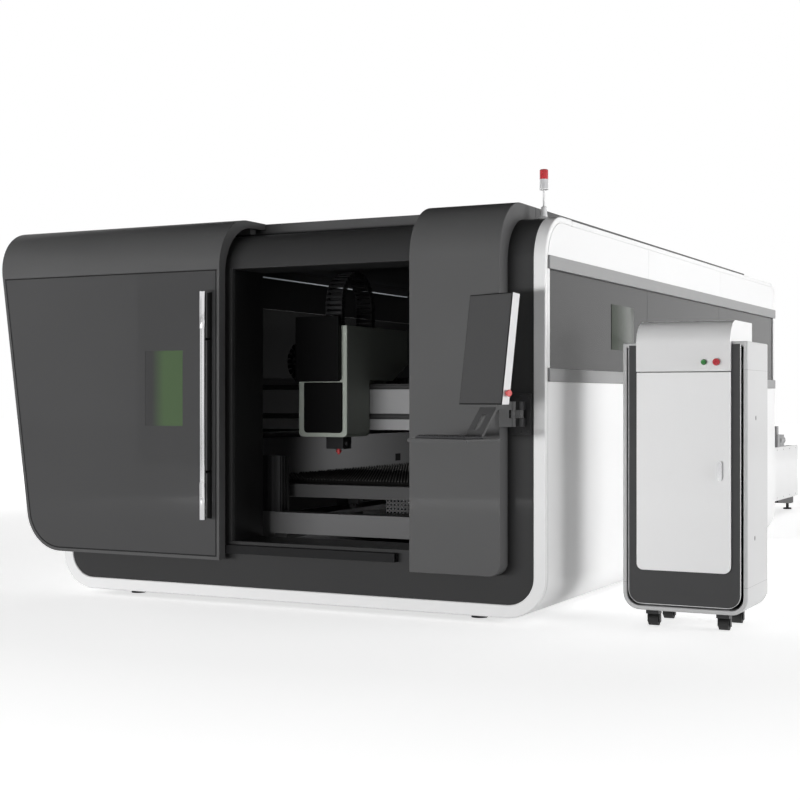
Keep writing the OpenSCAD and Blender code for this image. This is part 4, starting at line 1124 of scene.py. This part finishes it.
# %% [markdown]
# ## Keyboard
# The tray under the screen carries a flat keyboard. The console stands at an angle, so its pieces are placed
# in its own frame, turned about the hinge pin. The keys are one cap on a grid.

# %% Keyboard
PIVOT = Vector((1452.7, -112.3))
YAW = math.radians(-21.5)
TRAY_TOP = 993


def console_at(x, y, z):
    """A place in the console's own frame, on the machine's ruler turned about the hinge pin."""
    c, s = math.cos(YAW), math.sin(YAW)
    return at(PIVOT.x + c * x - s * y, PIVOT.y + s * x + c * y, z)


def console_blocks(name, spans, width):
    """Blocks in the console's own frame."""
    mesh = blocks(name, spans, width, (0, 0, 0))
    mesh.transform(Matrix.Translation(console_at(0, 0, 0)) @ Matrix.Rotation(YAW, 4, "Z"))
    return mesh


BOARD_X, BOARD_Y, BOARD_T = (-252, 112), (-452, -322), 12
KEY_START, KEY_STEP = (-236, -438), (19, 20)
KEY_COLUMNS, KEY_ROWS, KEY_HALF, KEY_H, KEY_SINK = 18, 6, 8, 6, 1
board_span = (BOARD_X[0], BOARD_Y[0], TRAY_TOP), (BOARD_X[1], BOARD_Y[1], TRAY_TOP + BOARD_T)
board = console_blocks("keyboard_base", [board_span], 3)
show("keyboard_base", board, "console", "dark_paint", key_plastic)
cap = blocks("key_cap", [((-KEY_HALF, -KEY_HALF, 0), (KEY_HALF, KEY_HALF, KEY_H))], 1.5, (0, 0, 0))
cap.transform(Matrix.Rotation(YAW, 4, "Z"))
key_z = TRAY_TOP + BOARD_T - KEY_SINK
keys = [
    console_at(KEY_START[0] + KEY_STEP[0] * i, KEY_START[1] + KEY_STEP[1] * j, key_z)
    for i in range(KEY_COLUMNS) for j in range(KEY_ROWS)
]
stamp("keyboard_keys", cap, keys, "console", "dark_paint", black_plastic)

# %% [markdown]
# ## Screen bezel
# The screen's glass runs to the edges of its housing, so a thin dark sheet covers the housing's front face.
# The housing leans and turns, so the sheet takes its corners from that face instead of from numbers.


# %% Bezel
FACING = 0.9


def face_sheet(name, node, toward, thick):
    """A thin sheet over the largest face of a solid that looks along `toward`."""
    work = joined(nodes[node].data)
    face = max((f for f in work.faces if f.normal.dot(toward) > FACING), key=lambda f: f.calc_area())
    lift = face.normal * thick * MM
    corners = [v.co.copy() for v in face.verts]
    work.free()
    sheet = bmesh.new()
    lower = [sheet.verts.new(c) for c in corners]
    upper = [sheet.verts.new(c + lift) for c in corners]
    sheet.faces.new(list(reversed(lower)))
    sheet.faces.new(upper)
    for k in range(len(corners)):
        n = (k + 1) % len(corners)
        sheet.faces.new((lower[k], lower[n], upper[n], upper[k]))
    return bevelled(name, sheet, 0)


BEZEL_T = 0.6
front_way = Vector((math.sin(YAW), -math.cos(YAW), 0.1)).normalized()
bezel = face_sheet("screen_bezel", "monitor_housing", front_way, BEZEL_T)
show("screen_bezel", bezel, "console", "screen_glass", cover_black)
print("bezel corners", len(bezel.vertices) // 2)

# %% [markdown]
# ## Seam of the door panel
# The door's flat panel is let into its frame, and the joint shows as a thin dark line. The line is a flat
# ring just inside the panel's outline. To find that outline, the edges that only one front face owns are
# walked round. The inner loop is moved in along the middle of each corner.


# %% Door seam
FLUSH = 1e-4


def outline(node, toward):
    """The longest loop of edges round the foremost faces of a solid, as points."""
    work = joined(nodes[node].data)
    work.edges.index_update()
    reach = max(v.co.dot(toward) for v in work.verts)
    front = {f for f in work.faces if reach - f.calc_center_median().dot(toward) < FLUSH}
    rim = {e for f in front for e in f.edges if len(front.intersection(e.link_faces)) == 1}
    loops = []
    while rim:
        edge = min(rim, key=lambda e: e.index)
        rim.remove(edge)
        loop = list(edge.verts)
        while loop[-1] is not loop[0]:
            edge = next(e for e in loop[-1].link_edges if e in rim)
            rim.remove(edge)
            loop.append(edge.other_vert(loop[-1]))
        loops.append([v.co.copy() for v in loop[:-1]])
    work.free()
    return max(loops, key=lambda points: sum((a - b).length for a, b in zip(points, points[1:])))


def ring(name, points, toward, width, thick):
    """A flat ring `width` wide inside a loop of points, `thick` proud, in millimetres."""
    start = points[0]
    turn = sum((a - start).cross(b - start).dot(toward) for a, b in zip(points, points[1:]))
    if turn < 0:
        points = points[::-1]
    inner = []
    for k, point in enumerate(points):
        before = toward.cross((point - points[k - 1]).normalized())
        after = toward.cross((points[(k + 1) % len(points)] - point).normalized())
        inner.append(point + (before + after) * (width * MM / (1 + before.dot(after))))
    lift = toward * thick * MM
    work = bmesh.new()
    rows = [points, [p + lift for p in points], [p + lift for p in inner], inner]
    rows = [[work.verts.new(p) for p in row] for row in rows]
    for row, other in zip(rows, rows[1:] + rows[:1]):
        for k in range(len(points)):
            work.faces.new((row[k - 1], row[k], other[k], other[k - 1]))
    return bevelled(name, work, 0)


OUTWARD = Vector((0, -1, 0))
SEAM_W, SEAM_PROUD = 6, 0.4
panel_edge = outline("door_panel", OUTWARD)
seam = ring("door_panel_seam", panel_edge, OUTWARD, SEAM_W, SEAM_PROUD)
show("door_panel_seam", seam, "door", node_slot["door_panel"], lining_black)
print("panel outline points", len(panel_edge))

# %% [markdown]
# ## Screws
# Rows of button heads hold the hinge plate, the guide rails and the panels of the exchange table. They grow
# on rows of points that start from each piece's own box, so they follow it if its size changes.

# %% Screws
PLATE_Y, PLATE_XS, PLATE_IN = -10, (14, 60), 16
plate_low, plate_high = ruler_box("console_hinge_plate")
hinge_screws = [
    at(plate_high.x - x, PLATE_Y, z)
    for x in PLATE_XS for z in (plate_low.z + PLATE_IN, plate_high.z - PLATE_IN)
]
screws("hinge_plate_screws", hinge_screws, (0, -1, 0), 6, 4, "machine", "black_metal", black_coat)

RAIL_HALF, RAIL_START, RAIL_STEP = 17, 40, 120
rail_low, rail_high = ruler_box("bed_guide_rails")
rail_x = rail_high.x - RAIL_HALF
rail_count = int((rail_high.y - rail_low.y - 2 * RAIL_START) / RAIL_STEP) + 1
rail_screws = [
    at(side * rail_x, rail_low.y + RAIL_START + RAIL_STEP * k, rail_high.z - 1)
    for side in (-1, 1) for k in range(rail_count)
]
screws("rail_screws", rail_screws, (0, 0, 1), 6, 2.5, "machine", "guide_steel", black_coat)

TABLE_START, TABLE_STEP, TABLE_COUNT, TABLE_IN = 120, 300, 13, 30
table_low, table_high = ruler_box("exchange_panels")
for side, name in ((1, "right"), (-1, "left")):
    points = [
        at(side * table_high.x, table_low.y + TABLE_START + TABLE_STEP * k, z)
        for k in range(TABLE_COUNT) for z in (table_low.z + TABLE_IN, table_high.z - TABLE_IN)
    ]
    screws("table_screws_" + name, points, (side, 0, 0), 7, 3, "machine", "guide_steel", steel_along)

# %% [markdown]
# ## A pale studio
# The photograph's backdrop is plain white. The world shows white to the camera, to mirrors and to glass, but
# lights the machine only softly: more from the horizon than from the ceiling.

# %% World
CEILING, HORIZON, BACKDROP = 0.03, 0.24, 1.0
WHITE = (1, 1, 1, 1)
world = bpy.data.worlds.new("studio_world")
world.use_nodes = True
bpy.context.scene.world = world
air = Wiring(world.node_tree)
air.tree.nodes.clear()
seen = air.add("ShaderNodeLightPath", out="Is Camera Ray")
for ray in ("Is Glossy Ray", "Is Transmission Ray"):
    seen = seen.math("MAXIMUM", seen, air.add("ShaderNodeLightPath", out=ray))
way = air.add("ShaderNodeTexCoord", out="Generated")
up = air.add("ShaderNodeSeparateXYZ", sockets={"Vector": way}, out="Z")
fill = air.add(
    "ShaderNodeMapRange", sockets={"Value": up, "To Min": HORIZON, "To Max": CEILING}, out="Result"
)
level = air.add("ShaderNodeMix", sockets={"Factor": seen, "A": fill, "B": BACKDROP})
sky = air.add("ShaderNodeBackground", sockets={"Color": WHITE, "Strength": level})
air.plug(air.tree.nodes.new("ShaderNodeOutputWorld").inputs["Surface"], sky)
print("world nodes:", len(air.tree.nodes))

# %% [markdown]
# ## Floor
# The floor is one large pale sheet. It glows a little to the camera, and more so far away, so that it meets
# the backdrop without an edge and still keeps the machine's shadow.

# %% Floor
floor_mesh = bpy.data.meshes.new("studio_floor")
FAR, FLOOR_Z = 60.0, -0.0005
FADE_START, FADE_RATE = 6.0, 0.2
NEAR_GLOW, FAR_GLOW, MIRROR_GLOW = 0.66, 0.34, 0.6
corners = [(-FAR, -FAR, 0), (FAR, -FAR, 0), (FAR, FAR, 0), (-FAR, FAR, 0)]
floor_mesh.from_pydata(corners, [], [(0, 1, 2, 3)])
floor = bpy.data.objects.new("studio_floor", floor_mesh)
floor.location.z = FLOOR_Z
bpy.context.scene.collection.objects.link(floor)
floor_finish = Finish("studio_floor")
camera_ray = floor_finish.add("ShaderNodeLightPath", out="Is Camera Ray")
mirror_ray = floor_finish.add("ShaderNodeLightPath", out="Is Glossy Ray")
reach_out = floor_finish.add(
    "ShaderNodeVectorMath", {"operation": "LENGTH"}, {0: floor_finish.place}, out="Value"
)
far = ((reach_out - FADE_START) * FADE_RATE).clamped()
floor_finish.set(
    Base_Color=(0.8, 0.8, 0.8, 1),
    Roughness=0.9,
    Specular_IOR_Level=0.0,
    Emission_Color=WHITE,
    Emission_Strength=camera_ray * (far * FAR_GLOW + NEAR_GLOW) + mirror_ray * MIRROR_GLOW,
)
wear(floor, floor_finish.material)
print("floor reaches", FAR, "m")

# %% [markdown]
# ## Flag and card
# A black flag overhead keeps the light off the roof and darkens the tops of the hoods. A black card at the
# front left shows in mirror images only: it gives chrome and gloss black their dark streaks.

# %% Flag and card
FLAGS = {
    "black_flag": ((-6000, -9000, 6400), (6000, 15000, 6420)),
    "mirror_card": ((-8000, -9500, 300), (-4300, -9480, 4500)),
}
for name, span in FLAGS.items():
    flag = bpy.data.objects.new(name, blocks(name, [span]))
    bpy.context.scene.collection.objects.link(flag)
    wear(flag, lining_black)
    flag.visible_camera = False
    flag.visible_diffuse = name == "black_flag"
    flag.visible_shadow = name == "black_flag"
print("flags:", len(FLAGS))

# %% [markdown]
# ## Lamps
# A low wide key in front keeps the dark front readable, and three wide fills light the sides and the rear.
# A small spot works inside. None of them shows in mirror images.


# %% Lamps
def lamp(name, kind, place, aim, watts, **settings):
    """A lamp aimed at a place and kept out of mirror images."""
    data = bpy.data.lights.new(name, kind)
    data.energy = watts
    for key, value in settings.items():
        setattr(data, key, value)
    obj = bpy.data.objects.new(name, data)
    obj.location = place
    obj.rotation_euler = (Vector(aim) - Vector(place)).to_track_quat("-Z", "Y").to_euler()
    obj.visible_glossy = False
    obj.visible_camera = False
    bpy.context.scene.collection.objects.link(obj)


WIDE = {"shape": "RECTANGLE", "size": 12, "size_y": 5}
LOW = {"shape": "RECTANGLE", "size": 7, "size_y": 1}
SPOT = {"spot_size": math.radians(110), "spot_blend": 0.8, "shadow_soft_size": 0.1}
lamp("front_key", "AREA", at(-2600, -9000, 560), at(-200, 0, 1150), 730, **LOW)
lamp("right_fill", "AREA", at(16000, 2500, 1900), at(1600, 2500, 1300), 2350, **WIDE)
lamp("left_fill", "AREA", at(-16000, 4000, 2200), at(-1600, 4000, 1300), 1000, **WIDE)
lamp("rear_fill", "AREA", at(-2000, 22000, 4000), at(0, 6000, 1000), 1250, **WIDE)
lamp("work_light", "SPOT", at(700, 1900, 860), at(-890, 3300, 740), 60, **SPOT)
bpy.context.scene.view_settings.view_transform = "Standard"
print("lamps:", len(bpy.data.lights))
